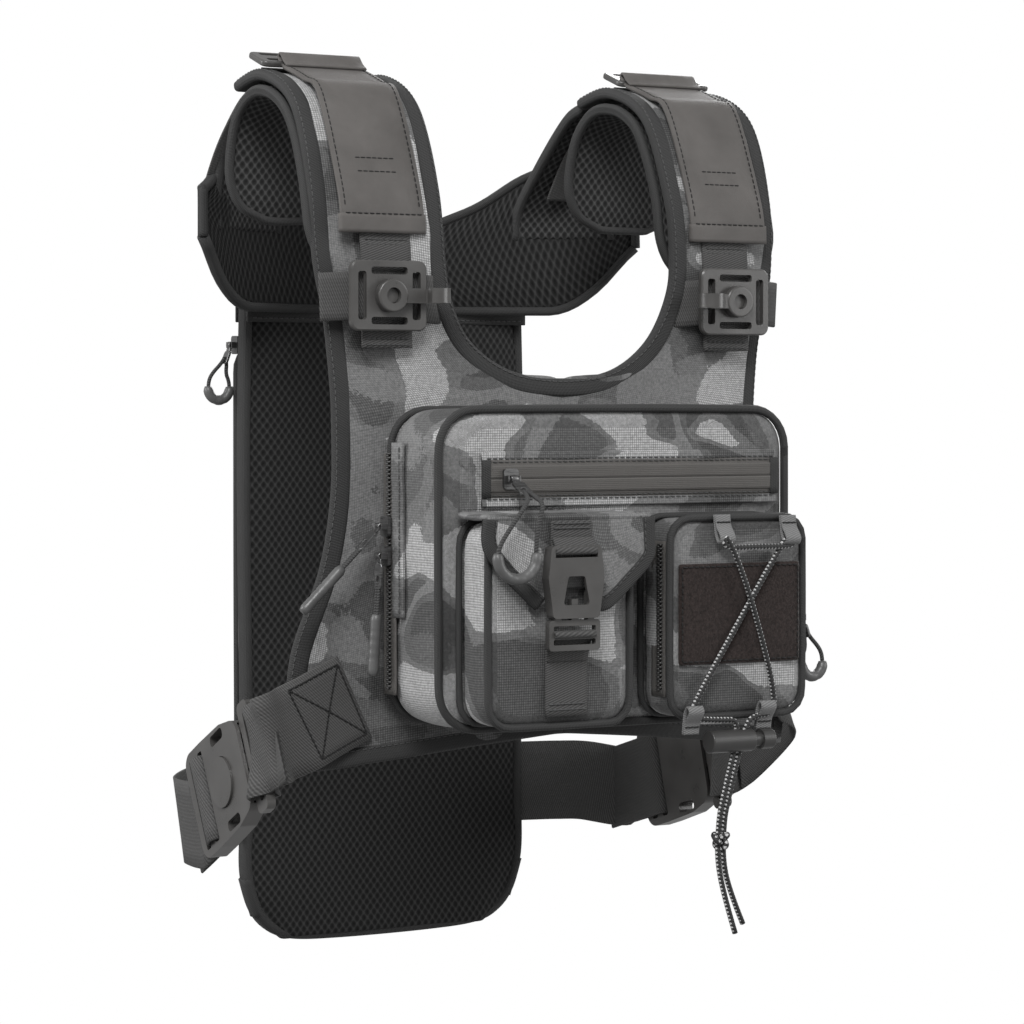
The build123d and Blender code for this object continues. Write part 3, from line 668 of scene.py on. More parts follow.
def chest(x, s):
    """Place of a flat bib point on the worn vest."""
    bow = BIB_MIDDLE_Y + x * x / BIB_SPREAD
    if s <= STRAP_START:
        join = smoothstep((s + 160) / (STRAP_START + 160))
        y = bow - 3.1 * join
        return Vector((x, y, s))
    y, z = arch_point(STRAP_ARCH, s - STRAP_START)
    fade = 1 - 0.7 * smoothstep((s - STRAP_START) / 100)
    return Vector((x, y + (x * x - STRAP_X ** 2) / BIB_SPREAD * fade, z))


def chest_normal(x, s):
    across = chest(x + 1, s) - chest(x - 1, s)
    along = chest(x, s + 1) - chest(x, s - 1)
    return across.cross(along).normalized()


def bib_flat(side, u, v):
    outer = curve_at(OUTER_EDGE, v)
    inner = curve_at(INNER_EDGE, v)
    point = outer.lerp(inner, u)
    return Vector((point.x * -side, point.y))


def bib_surface(side):
    def surface(u, v):
        u = u if side == LEFT else 1 - u
        flat = bib_flat(side, u, v)
        place = chest(flat.x, flat.y)
        edge = smoothstep(min(u, 1 - u if v > 0.4 else 1) * 8)
        crease = ripple(place, 55, 1.6, 3) + ripple(place, 20, 0.5, 8)
        return place + chest_normal(flat.x, flat.y) * crease * edge
    return surface


def bib_depth(u, v):
    return 1.9 + 0.7 * smoothstep(min(u, 1 - u) * 9)


def edge_path(points, side, inset):
    """Path inset millimetres inside a flat outline, on the worn vest, with its normals."""
    flat = through([(x * -side, s, 0) for x, s in points], 3)
    path, normals = [], []
    for i, point in enumerate(flat):
        before, after = flat[max(i - 1, 0)], flat[min(i + 1, len(flat) - 1)]
        along = (after - before).normalized()
        inward = Vector((-along.y, along.x, 0)) * inset
        path.append(chest(point.x + inward.x, point.y + inward.y))
        normals.append(chest_normal(point.x + inward.x, point.y + inward.y))
    return path, normals


def bind_edge(name, path, normals, width=10.5, depth=6.2, body=BODY, stitched=True, material=None):
    """Folded tape over a cloth edge, with a row of stitches near its inner border."""
    sweep(name, path, rounded_section(width, depth, 2.4, 3), material or BINDING, lambda i, p: normals[i],
          body)
    if not stitched:
        return
    row = []
    for i, point in enumerate(path):
        before, after = path[max(i - 1, 0)], path[min(i + 1, len(path) - 1)]
        side = (after - before).normalized().cross(normals[i]).normalized()
        row.append(point + side * (width / 2 - 1.9) * -1 + normals[i] * (depth / 2))
    merged(name + "_stitches", stitch_parts(row, lambda i, p: nearest_normal(p, path, normals)), THREAD,
           body)


def nearest_normal(point, path, normals):
    best = min(range(0, len(path)), key=lambda k: (path[k] - point).length_squared)
    return normals[best]


def make_bib():
    for side, name in ((LEFT, "bib_cloth_left"), (RIGHT, "bib_cloth_right")):
        piece = slab(name, bib_surface(side), 26, 78, bib_depth, CAMO, back_material=LINING)
        strap = "left" if side == LEFT else "right"
        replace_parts(piece, "bib_panel", "front_strap_" + strap)
        outer = OUTER_EDGE[1:]
        path, normals = edge_path(outer if side == LEFT else list(reversed(outer)), side, -4.3)
        bind_edge("armhole_binding_" + strap, path, normals)
        bottom = [(-160, -352), (-161, -372), (-153, -383), (-110, -379.5), (-60, -374), (-10, -369.5),
                  (0, -369)]
        path, normals = edge_path(bottom if side == LEFT else list(reversed(bottom)), side, 4.3)
        bind_edge("hem_binding_" + strap, path, normals)
    neck = [Vector(p) for p in reversed(INNER_EDGE[5:])]
    flat = [(p.x, p.y) for p in neck] + [(-p.x, p.y) for p in reversed(neck[:-1])]
    path, normals = edge_path(flat, LEFT, -4.3)
    bind_edge("neck_binding", path, normals)


# --- shoulder pads and straps -------------------------------------------------------------------

PAD_ARCH = through([(0, -96, -114), (0, -91.5, -72), (0, -69, -26), (0, -34, -12), (0, -8, -22.5),
                    (0, 4.5, -45), (0, 7, -81)], 2)
PAD_LENGTH = (len(PAD_ARCH) - 1) * 2
WIDE_ARCH = through([(0, -108.2, -93), (0, -104.6, -70), (0, -80.5, -17), (0, -62, -7.2), (0, -38, 1.2)], 2)


def pad_half_width(v):
    """Half the pad's width, rounded off at both ends."""
    from_end = min(v, 1 - v) * PAD_LENGTH
    reach = 30
    if from_end >= reach:
        return 38.0
    return 38.0 - reach * 0.75 * (1 - math.sqrt(max(0.0, 1 - (1 - from_end / reach) ** 2)))


def pad_surface(side):
    def surface(u, v):
        y, z = arch_point(PAD_ARCH, v * PAD_LENGTH)
        x = side * STRAP_X + (2 * u - 1) * pad_half_width(v)
        place = Vector((x, y, z))
        return place + Vector((0, ripple(place, 30, 1.2), ripple(place, 24, 1.0, 4)))
    return surface


def pad_depth(u, v):
    edge = min(u, 1 - u) * 2 * 38
    end = min(v, 1 - v) * PAD_LENGTH
    return 1.4 + 2.4 * smoothstep(min(edge, end) / 12)


def outline_of(surface, samples=40):
    """Closed path round a slab's rim, with the slab's normals."""
    square = []
    square += [(k / samples, 0) for k in range(samples)]
    square += [(1, k / samples) for k in range(samples)]
    square += [(1 - k / samples, 1) for k in range(samples)]
    square += [(0, 1 - k / samples) for k in range(samples)]
    path = even([surface(u, v) for u, v in square], 2.5, closed=True)
    normals = []
    step = 0.01
    reference = [(surface(u, v), u, v) for u, v in square]
    for point in path:
        _, u, v = min(reference, key=lambda entry: (entry[0] - point).length_squared)
        u0, u1 = max(u - step, 0), min(u + step, 1)
        v0, v1 = max(v - step, 0), min(v + step, 1)
        du = surface(u1, v) - surface(u0, v)
        dv = surface(u, v1) - surface(u, v0)
        normals.append(du.cross(dv).normalized())
    return path, normals


def make_shoulders():
    for side, name in ((LEFT, "left"), (RIGHT, "right")):
        pad = slab("shoulder_padding_" + name, pad_surface(side), 18, 50, pad_depth, MESH)
        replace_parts(pad, "shoulder_pad_" + name)
        path, normals = outline_of(pad_surface(side))
        sweep("shoulder_pad_binding_" + name, path, rounded_section(4.6, 6.4, 2.2), BINDING,
              lambda i, p, n=normals: n[i], closed=True)
        make_wide_strap(side, name)
        make_yoke_strap(side, name)
        make_chest_webbing(side, name)


def arch_strap(name, arch, x, width, thickness, material, sides=6):
    path = [Vector((x, p.y, p.z)) for p in arch]
    normals = []
    for i in range(len(path)):
        tangent = path[min(i + 1, len(path) - 1)] - path[max(i - 1, 0)]
        normals.append(Vector((1, 0, 0)).cross(tangent).normalized())
    piece = sweep(name, path, strap_section(width, thickness, sides), material, lambda i, p: normals[i])
    return piece, path, normals


def make_wide_strap(side, name):
    x = side * STRAP_X
    piece, path, normals = arch_strap("wide_strap_cloth_" + name, WIDE_ARCH, x, 50, 2.2, STRAP)
    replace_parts(piece, "wide_strap_" + name)
    hem = path[:6]
    sweep("wide_strap_hem_" + name, hem, strap_section(50.6, 4.6), STRAP, lambda i, p: normals[i])
    rows = []
    for distance, half in ((5, 23.5), (17, 12), (21, 12)):
        line = [path[distance] + Vector((k * half, 0, 0))
                + normals[distance] * (2.3 if distance == 5 else 1.1)
                for k in (-1, -0.3, 0.3, 1)]
        rows += stitch_parts(line, constant(normals[distance]))
    for edge in (-1, 1):
        line = [p + Vector((edge * 22.6, 0, 0)) + n * 1.1 for p, n in zip(path, normals)]
        rows += stitch_parts(line[7:], lambda i, p: nearest_normal(p, path, normals))
    merged("wide_strap_stitches_" + name, rows, DARK_THREAD)
    bar = through([(x, -38, 1.2), (x, -33.5, 3.6), (x, -30.2, 7.6), (x, -33, 9.2), (x, -37.5, 4.8),
                   (x, -42, 1.8)], 1)
    loop_normals = [Vector((1, 0, 0)).cross(bar[min(i + 1, len(bar) - 1)] - bar[max(i - 1, 0)]).normalized()
                    for i in range(len(bar))]
    sweep("ring_loop_" + name, bar, strap_section(49, 1.6), STRAP, lambda i, p: loop_normals[i])


def yoke_depth_at(x):
    """Middle of the yoke's padding, bent round the wearer's back."""
    return YOKE_CENTRE_Y + math.sqrt(YOKE_RADIUS * YOKE_RADIUS - x * x)


def yoke_strap_surface(side):
    def surface(u, v):
        x = side * YOKE_STRAP_X + (2 * u - 1) * 26
        y, z = arch_point(YOKE_ARCH, v * (len(YOKE_ARCH) - 1) * 2)
        hold = 1 - smoothstep(v * 1.7)
        place = Vector((x, y + (yoke_depth_at(x) - yoke_depth_at(YOKE_STRAP_X)) * hold, z))
        return place + Vector((0, ripple(place, 40, 1.0), 0))
    return surface


YOKE_ARCH = through([(0, 73, -84), (0, 71, -68), (0, 61, -51.5), (0, 43.5, -31.5), (0, 20, -14),
                     (0, 2, -8.6)], 2)


def make_yoke_strap(side, name):
    def depth(u, v):
        return 1.8 + 1.2 * smoothstep(min(u, 1 - u) * 8)
    surface = yoke_strap_surface(side)
    piece = slab("yoke_strap_cloth_" + name, surface, 14, 34, depth, MESH)
    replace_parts(piece, "yoke_strap_" + name)
    for u, edge in ((0.0, "inner"), (1.0, "outer")):
        line = [surface(u, k / 30) for k in range(31)]
        normals = []
        for i, point in enumerate(line):
            tangent = line[min(i + 1, 30)] - line[max(i - 1, 0)]
            normals.append(Vector((1, 0, 0)).cross(tangent).normalized())
        sweep("yoke_binding_%s_%s" % (edge, name), line, rounded_section(5, 6.6, 2.2), BINDING,
              lambda i, p: normals[i])
    run = [Vector((side * (STRAP_X + 4), p.y, p.z)) for p in YOKE_ARCH[14:]]
    run += [Vector((side * (STRAP_X + 4), -6, -1)), Vector((side * (STRAP_X + 4), -14, 5.6))]
    run = through(run, 2)
    normals = []
    for i in range(len(run)):
        tangent = run[min(i + 1, len(run) - 1)] - run[max(i - 1, 0)]
        normals.append(tangent.cross(Vector((1, 0, 0))).normalized() * -1)
    outer = [p + n * 4.4 for p, n in zip(run, normals)]
    sweep("rear_webbing_" + name, outer, strap_section(48, 1.8), WEBBING, lambda i, p: normals[i])


def make_chest_webbing(side, name):
    """Narrow webbing under the wide strap and the webbing that crosses it."""
    x = side * (STRAP_X - 2)
    line = through([(x, -105.4, -88), (x, -107.6, -100), (x, -108.9, -114), (x, -112.2, -127),
                    (x, -109.4, -141), (x, -109.2, -150), (x, -109.6, -155)], 2)
    normal = Vector((0, -1, 0))
    strip = sweep_mesh(line, strap_section(30, 1.8), constant(normal))
    x0, x1 = side * (STRAP_X - 37), side * (STRAP_X + 36)
    cross = through([(x0, -106.6, -129), (x0 + side * 12, -109.6, -128), (x0 + side * 24, -111.2, -127),
                     (x1 - side * 24, -110.6, -127), (x1 - side * 10, -107.5, -127.5), (x1, -103.4, -128)],
                     2)
    cross = sweep_mesh(cross, strap_section(25, 1.8), constant(normal))
    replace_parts(merged("chest_webbing_" + name, [strip], WEBBING), "chest_webbings")
    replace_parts(merged("cross_webbing_" + name, [cross], WEBBING), "cross_webbings")
    rows = []
    for z in (-150, -153.4):
        rows += stitch_parts([(x - 13, -110.6, z), (x, -110.6, z), (x + 13, -110.6, z)], constant(normal),
                             3.0, 2.2)
    for z in (-96.5, -99.0):
        rows += stitch_parts([(x - 13, -108.1, z), (x, -108.1, z), (x + 13, -108.1, z)], constant(normal),
                             3.0, 2.2)
    merged("chest_webbing_stitches_" + name, rows, THREAD)


# --- back panel, yoke and back pocket -------------------------------------------------------------

BACK_LEFT_EDGE = [(-70, -511), (-87, -495), (-94.5, -468), (-94, -425), (-94.5, -350), (-95.5, -270),
                  (-95.5, -200), (-94, -128)]


def back_surface(u, v):
    edge = curve_at([(x, z, 0) for x, z in BACK_LEFT_EDGE], v)
    x = edge.x * (1 - 2 * u)
    bow = 104.5 + 1.5 * smoothstep((-edge.y - 420) / 90)
    place = Vector((x, bow, edge.y))
    return place + Vector((0, ripple(place, 70, 2.2, 5) + ripple(place, 26, 0.8, 2), 0))


def back_depth(u, v):
    rim = min(u, 1 - u) * 2 * 96
    low = v * 383
    lobe = smoothstep((0.16 - v) / 0.1)
    return 2.6 + 3.6 * smoothstep(min(rim, low) / 16) + 1.4 * lobe * smoothstep(min(rim, low) / 8)


def make_back():
    panel = slab("back_padding", lambda u, v: back_surface(1 - u, v), 30, 60, back_depth, MESH,
                 back_material=LINING)
    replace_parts(panel, "back_panel")
    edge = through([(x * 0.992, z, 0) for x, z in BACK_LEFT_EDGE[1:]], 3)
    low = through([(-94, -472, 0), (-88, -490, 0), (-79, -501, 0), (-64, -507.5, 0), (-30, -509.5, 0),
                   (30, -509.5, 0), (64, -507.5, 0), (79, -501, 0), (88, -490, 0), (94, -472, 0)], 3)
    for name, line, width in (("left", edge, 11), ("right", [Vector((-p.x, p.y, 0)) for p in edge], 11),
                              ("low", low, 12)):
        path = [Vector((p.x, 104.5 + 1.5 * smoothstep((-p.y - 420) / 90), p.y)) for p in line]
        sweep("back_binding_" + name, path, rounded_section(width * 0.55, 11, 3), BINDING,
              constant((0, 1, 0)))
    make_yoke()
    make_back_pocket()


def yoke_surface(u, v):
    x = (2 * u - 1) * 147
    top = eased(((0, -79), (30, -77), (62, -64), (90, -44), (108, -39), (130, -48), (147, -64)), x)
    low = eased(((0, -128), (112, -128), (134, -109), (147, -84)), x)
    z = low + (top - low) * v
    place = Vector((x, yoke_depth_at(x), z))
    return place + Vector((0, ripple(place, 45, 1.6, 9), 0))


def make_yoke():
    def depth(u, v):
        rim = min(min(u, 1 - u) * 300, min(v, 1 - v) * 60)
        return 1.8 + 2.9 * smoothstep(rim / 12)
    yoke = slab("yoke_padding", lambda u, v: yoke_surface(1 - u, v), 40, 14, depth, MESH,
                back_material=LINING)
    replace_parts(yoke, "back_yoke")
    for name, v in (("top", 1.0), ("low", 0.0)):
        line = [yoke_surface(k / 60, v) for k in range(61)]
        normals = [Vector((p.x, yoke_depth_at(p.x) - YOKE_CENTRE_Y, 0)).normalized() for p in line]
        sweep("yoke_edge_" + name, line, rounded_section(5.5, 7, 2.4), BINDING, lambda i, p: normals[i])
    for side, name in ((0.0, "left"), (1.0, "right")):
        line = [yoke_surface(side, k / 10) for k in range(11)]
        sweep("yoke_end_" + name, line, rounded_section(5.5, 6.5, 2.4), BINDING, constant((0, 1, 0)))
    band = through([(-96, 103, -128), (-60, 104.6, -128), (0, 105, -128), (60, 104.6, -128),
                    (96, 103, -128)], 3)
    for name, offset in (("outer", 9.0), ("inner", -6.6)):
        line = [p + Vector((0, offset, 0)) for p in band]
        piece = sweep("seam_band_" + name, line, strap_section(16, 1.6), BINDING, constant((0, 1, 0)))
        if name == "outer":
            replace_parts(piece, "seam_band")
        sign = 1 if offset > 0 else -1
        rows = []
        for z in (-6, 6):
            rows += stitch_parts([p + Vector((0, sign * 0.9, z)) for p in line[1:-1]],
                                 constant((0, sign, 0)))
        merged("seam_band_stitches_" + name, rows, THREAD)


def puffed_box(name, x_range, z_range, back_y, front_y, corner, material, bulge=2.0, crown=4.0, body=BODY,
               seed=0.0, lift=0.0):
    """Bag with a flat back, straight gusset and a domed front face, towards front_y from back_y."""
    x0, x1 = x_range
    z0, z1 = z_range
    toward = 1 if front_y > back_y else -1
    middle = Vector(((x0 + x1) / 2, 0, (z0 + z1) / 2))
    half_x, half_z = (x1 - x0) / 2, (z1 - z0) / 2
    rim = rounded_section(2 * half_x, 2 * half_z, corner, 7)
    outline = even([Vector((middle.x + a, 0, middle.z + b)) for a, b in rim], 5.0, closed=True)
    count = len(outline)
    depth = abs(front_y - back_y)
    steps = max(3, int(depth / 7))
    vertices, uvs = [], []
    travelled = [0.0]
    for a, b in zip(outline, outline[1:]):
        travelled.append(travelled[-1] + (b - a).length)
    for k in range(steps + 1):
        t = k / steps
        for i, point in enumerate(outline):
            outward = (point - middle).normalized()
            swell = bulge * math.sin(math.pi * t)
            place = Vector((point.x, back_y + toward * depth * t, point.z)) + outward * (swell - lift * t)
            place += outward * ripple(place, 24, 1.5 * math.sin(math.pi * min(t * 1.1, 1)), seed)
            vertices.append(place)
            uvs.append((travelled[i] * MM, depth * t * MM))
    rings = 9
    faces = []
    for k in range(steps):
        for i in range(count):
            a, b = k * count + i, k * count + (i + 1) % count
            faces.append((a, b, b + count, a + count))
    base = steps * count
    for r in range(1, rings + 1):
        shrink = 1 - r / rings * 0.94
        for i, point in enumerate(outline):
            flat = middle + (vertices[steps * count + i] - middle) * shrink
            rise = crown * smoothstep((1 - shrink) * 1.6)
            place = Vector((flat.x, front_y + toward * rise, flat.z))
            place.y += toward * ripple(Vector((flat.x, 0, flat.z)), 30, 1.3 * smoothstep((1 - shrink) * 4),
                                       seed + 3)
            vertices.append(place)
            uvs.append((flat.x * MM, flat.z * MM))
        for i in range(count):
            a, b = base + (r - 1) * count + i, base + (r - 1) * count + (i + 1) % count
            faces.append((a, b, b + count, a + count))
    faces.append(tuple(base + rings * count + i for i in range(count)))
    faces.append(tuple(reversed(range(count))))
    if toward < 0:
        faces = [tuple(reversed(face)) for face in faces]
    piece = new_piece(name, vertices, [tuple(reversed(f)) for f in faces], material, uvs, body)
    modifier = piece.modifiers.new("smooth", "SUBSURF")
    modifier.levels = modifier.render_levels = 1
    return piece, outline


def piping(name, outline, y, diameter=4.2, grow=0.6, body=BODY):
    """Corded seam round a bag's edge."""
    middle = sum(outline, Vector()) / len(outline)
    line = [Vector((p.x, y, p.z)) + (p - middle).normalized() * grow for p in outline]
    return sweep(name, line, round_section(diameter, 8), BINDING, constant((0, 1, 0)), body, closed=True)


def make_back_pocket():
    piece, outline = puffed_box("back_pocket_cloth", (-91, 91), (-449, -151), 112.4, 122.4, 14, CAMO, 0.6,
                                1.6, seed=6)
    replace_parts(piece, "back_pocket")
    piping("back_pocket_piping", outline, 121.6)
    rows = stitch_parts([Vector((p.x * 0.94, 124.4, -300 + (p.z + 300) * 0.96)) for p in outline],
                        constant((0, 1, 0)))
    merged("back_pocket_stitches", rows, THREAD)


# --- main pouch and its zips ----------------------------------------------------------------------


def zip_teeth(name, start, end, normal, width=5.6, pitch=2.2):
    """Coil of a zip: small interlocking loops in a straight line."""
    start, end, normal = Vector(start), Vector(end), Vector(normal)
    along = (end - start).normalized()
    across = along.cross(normal).normalized()
    count = int((end - start).length / pitch)
    parts = []
    for k in range(count):
        for sign in (-1, 1):
            root = start + along * (k + (0.5 if sign > 0 else 0.0)) * pitch
            line = [
                root + across * sign * width / 2 - normal * 0.3,
                root + across * sign * width * 0.3 + normal * 0.7,
                root + across * sign * -0.3 + normal * 0.8,
                root + across * sign * -0.3 - normal * 0.3,
            ]
            parts.append(sweep_mesh(line, round_section(1.35, 5), constant(along)))
    return merged(name, parts, DARK_PLASTIC)


def tape_strip(name, start, end, normal, width, thickness=1.0, material=None, lift=0.0):
    start, end, normal = Vector(start), Vector(end), Vector(normal)
    line = [p + normal * (lift + ripple(p, 18, 0.4, 2)) for p in even([start, end], 4)]
    return sweep(name, line, strap_section(width, thickness), material or TAPE, constant(normal))


def make_pouch():
    piece, outline = puffed_box("main_pouch_cloth", (-109, 109), (-357, -189), -111.4, -168.5, 21, CAMO,
                                2.4, 1.4, seed=1)
    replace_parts(piece, "main_pouch")
    piping("pouch_piping_front", outline, -167.6, 4.6, 1.4)
    piping("pouch_piping_back", outline, -112.8, 4.2, 0.8)
    front = (0, -1, 0)
    tape = tape_strip("front_zip_band", (-84, -171.6, -225), (100, -171.6, -225), front, 20, 1.4)
    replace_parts(tape, "front_zip_tape")
    for z in (-228.6, -221.4):
        tape_strip("front_zip_lip_%d" % -z, (-83, -172.2, z), (99, -172.2, z), front, 6.6, 1.6)
    for x in (-84, 100):
        tape_strip("front_zip_stop_%s" % ("left" if x < 0 else "right"), (x, -172.6, -215),
                   (x, -172.6, -235), front, 5, 1.2, BINDING)
    rows = []
    for z in (-235.8, -234.0, -216.0, -214.2):
        rows += stitch_parts([(x, -172.4, z) for x in (-84, -40, 0, 50, 100)], constant(front))
    for z in (-213.0, -237.4):
        tape_strip("zip_fold_%d" % -z, (-86, -171.2, z), (102, -171.2, z), front, 4.2, 2.2, CAMO)
    merged("front_zip_stitches", rows, THREAD)
    side = (-1, 0, 0)
    tape = tape_strip("main_zip_band", (-112.6, -118, -212), (-112.6, -118, -342), side, 13, 1.2)
    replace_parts(tape, "main_zip_tape")
    zip_teeth("main_zip_teeth", (-113.6, -118, -212), (-113.6, -118, -341), side, 4.6)
    tape_strip("main_zip_cover", (-113.0, -127.5, -206), (-112.4, -127.5, -300), side, 11, 2.4, CAMO)
    rows = stitch_parts([(-114.4, -131.4, z) for z in (-208, -240, -270, -298)], constant(side))
    merged("main_zip_stitches", rows, THREAD)


# --- left pocket with its flap and buckle ---------------------------------------------------------


def make_left_pocket():
    piece, outline = puffed_box("left_pocket_cloth", (-99.5, -14.5), (-353.5, -247.5), -170.6, -203.4, 12,
                                CAMO, 1.6, 1.4, seed=2)
    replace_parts(piece, "left_pocket")
    piping("left_pocket_piping", outline, -202.8, 4.2, 0.9)
    piping("left_pocket_seam", outline, -172.4, 3.6, 1.2)
    top = slab("flap_top_cloth", flap_top_surface, 24, 8, lambda u, v: 1.7, CAMO)
    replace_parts(top, "flap_top")
    rows = stitch_parts([(x, -173, -240.9) for x in (-100, -70, -40, -8)], constant((0, 0, 1)))
    merged("flap_top_stitches", rows, THREAD)
    make_flap()
    tail = tape_strip("pocket_tail_webbing", (-55, -206.1, -314), (-55, -206.1, -349), (0, -1, 0), 25, 1.6,
                      WEBBING)
    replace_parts(tail, "pocket_tail")
    loop = through([(-55, -207.0, -320), (-55, -209.2, -313), (-55, -211.4, -308.6), (-55, -214.6, -307.2),
                    (-55, -216.6, -305.8), (-55, -215.6, -304.4), (-55, -211.5, -304.6),
                    (-55, -208.6, -310)], 1)
    sweep("pocket_tail_loop", loop, strap_section(24.5, 1.3), WEBBING, lambda i, p: strap_normal(loop, i),
          "plug")
    bars = []
    for z in (-342.5, -345.5):
        bars += stitch_parts([(-66, -207.1, z), (-44, -207.1, z)], constant((0, -1, 0)), 2.2, 2.1, 0.9)
    merged("pocket_tail_stitches", bars, THREAD)


def strap_normal(path, i):
    tangent = path[min(i + 1, len(path) - 1)] - path[max(i - 1, 0)]
    return Vector((1, 0, 0)).cross(tangent).normalized()


def flap_top_surface(u, v):
    x = -102 + 96 * u
    y = -206.5 + 35.5 * v
    sag = -1.0 * math.sin(math.pi * v)
    return Vector((x, y, -243.5 + sag + ripple(Vector((x, y, 0)), 20, 0.5)))


FLAP_EDGE = [(-103, -246), (-103, -260), (-92, -273), (-76, -287.5), (-70, -290.5), (-69, -282.5),
             (-55, -281.7),
             (-41, -282.5), (-40, -290.5), (-30, -290), (-17, -279), (-5.5, -268), (-5, -246)]


def flap_surface(u, v):
    """u runs along the free edge and v from that edge up to the hinge line."""
    edge = curve_at([(x, z, 0) for x, z in FLAP_EDGE], 0.083 + u * 0.834)
    top = Vector((-102 + 96 * u, -244.5, 0))
    flat = edge.lerp(top, v)
    y = -208.0 - 0.4 * math.sin(math.pi * min(v * 1.0, 1))
    return Vector((flat.x, y, flat.y))


def make_flap():
    piece = slab("pocket_flap_cloth", flap_surface, 40, 16, lambda u, v: 1.6, CAMO, "flap",
                 back_material=LINING)
    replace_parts(piece, "pocket_flap")
    for name, points in (
        ("left", [(-102, -245), (-102, -259), (-92, -271.5), (-79, -283.6), (-72.5, -289.2)]),
        ("right", [(-38, -289.8), (-31, -289), (-19, -278.6), (-6.6, -266), (-6, -256), (-6, -245)]),
    ):
        path = through([(x, -208.2, z) for x, z in points], 2)
        bind_edge("flap_binding_" + name, path, [Vector((0, -1, 0))] * len(path), 9, 4.4, "flap")
    hinge = [(x, -208.3, -244.6) for x in (-103, -54, -5)]
    sweep("flap_fold", even([Vector(p) for p in hinge], 4), rounded_section(3.6, 3.4, 1.6), CAMO,
          constant((0, -1, 0)), "flap")
    drop = through([(-55, -210.9, -246), (-55, -210.9, -253), (-55, -211.2, -258), (-55, -213.2, -261.6),
                    (-55, -215.8, -263.2), (-55, -217.3, -261.8), (-55, -216.0, -259.6),
                    (-55, -212.8, -255)], 1)
    webbing = sweep("flap_webbing_strip", drop, strap_section(24.6, 1.5), WEBBING,
                    lambda i, p: strap_normal(drop, i), "flap")
    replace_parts(webbing, "flap_webbing")
    bars = []
    for z in (-247.5, -250):
        bars += stitch_parts([(-66, -211.9, z), (-44, -211.9, z)], constant((0, -1, 0)), 2.2, 2.1, 0.9)
    merged("flap_webbing_stitches", bars, THREAD, "flap")


# --- right pocket with its patch and lacing -------------------------------------------------------


def make_right_pocket():
    piece, outline = puffed_box("right_pocket_cloth", (13.5, 98.5), (-353.5, -247.5), -170.6, -201.6, 12,
                                CAMO, 1.6, 1.2, seed=4)
    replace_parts(piece, "right_pocket")
    piping("right_pocket_piping", outline, -201.0, 4.2, 0.9)
    piping("right_pocket_seam", outline, -172.4, 3.6, 1.2)
    patch = slab("fleece_cloth", fleece_surface, 24, 18, lambda u, v: 0.9, FLEECE)
    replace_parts(patch, "fleece_patch")
    border = [(18.5, -324), (93.5, -324), (93.5, -273), (18.5, -273)]
    rows = []
    for a, b in zip(border, border[1:] + border[:1]):
        rows += stitch_parts([(a[0], -205.0, a[1]), (b[0], -205.0, b[1])], constant((0, -1, 0)))
    merged("fleece_stitches", rows, DARK_THREAD)
    for place, facing in (((99.6, -190, -259), 1), ((13.0, -190, -259), -1)):
        line = even([Vector(place), Vector((place[0], -190, -343))], 4)
        sweep("pocket_zip_band_%s" % ("right" if facing > 0 else "left"), line, strap_section(13, 1.2),
              TAPE, constant((facing, 0, 0)))
    zip_teeth("side_zip_teeth", (100.4, -192, -261), (100.4, -192, -341), (1, 0, 0), 4.6)
    zip_teeth("inner_zip_teeth", (12.2, -192, -261), (12.2, -192, -341), (-1, 0, 0), 4.6)
    make_lace_tabs()


def fleece_surface(u, v):
    x, z = 16.5 + 79 * u, -326 + 55 * v
    return Vector((x, -203.9 + ripple(Vector((x, 0, z)), 25, 0.5), z))


LACE_TABS = {"top_left": (44, -257), "top_right": (87, -258), "low_left": (24, -351),
             "low_right": (71, -350)}


def make_lace_tabs():
    parts = []
    for name, (x, z) in LACE_TABS.items():
        up = 1 if name.startswith("top") else -1
        loop = through([
            (x, -203.6, z + up * 12), (x, -204.4, z + up * 6), (x, -205.6, z), (x, -208.6, z - up * 3.2),
            (x, -210.6, z - up * 0.6), (x, -208.8, z + up * 2.6), (x, -206.2, z + up * 6),
            (x, -205.0, z + up * 12),
        ], 1)
        parts.append(sweep_mesh(loop, strap_section(9.4, 1.2),
                                lambda i, p, loop=loop: strap_normal(loop, i)))
    tabs = merged("lace_tab_loops", parts, PALE_WEBBING)
    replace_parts(tabs, "lace_tabs")
    rows = []
    for name, (x, z) in LACE_TABS.items():
        up = 1 if name.startswith("top") else -1
        rows += stitch_parts([(x - 4.4, -206.4, z + up * 8), (x + 4.4, -206.4, z + up * 8)],
                             constant((0, -1, 0)), 1.8, 1.7, 0.8)
    merged("lace_tab_stitches", rows, DARK_THREAD)


# --- bungee lacing and its free tails -------------------------------------------------------------

LACE_Y = -206.8
LOCK_SLIDE = Vector((-0.27, 0, -0.963)).normalized()
LOCK_SIDE = Vector((-LOCK_SLIDE.z, 0, LOCK_SLIDE.x))
LOCK_CENTRE = Vector((54, LACE_Y, -367.5))
CORD_GAP = 1.75
BUNGEE = 3.0


def beside_lock(distance, side):
    return LOCK_CENTRE + LOCK_SLIDE * distance + LOCK_SIDE * side * CORD_GAP


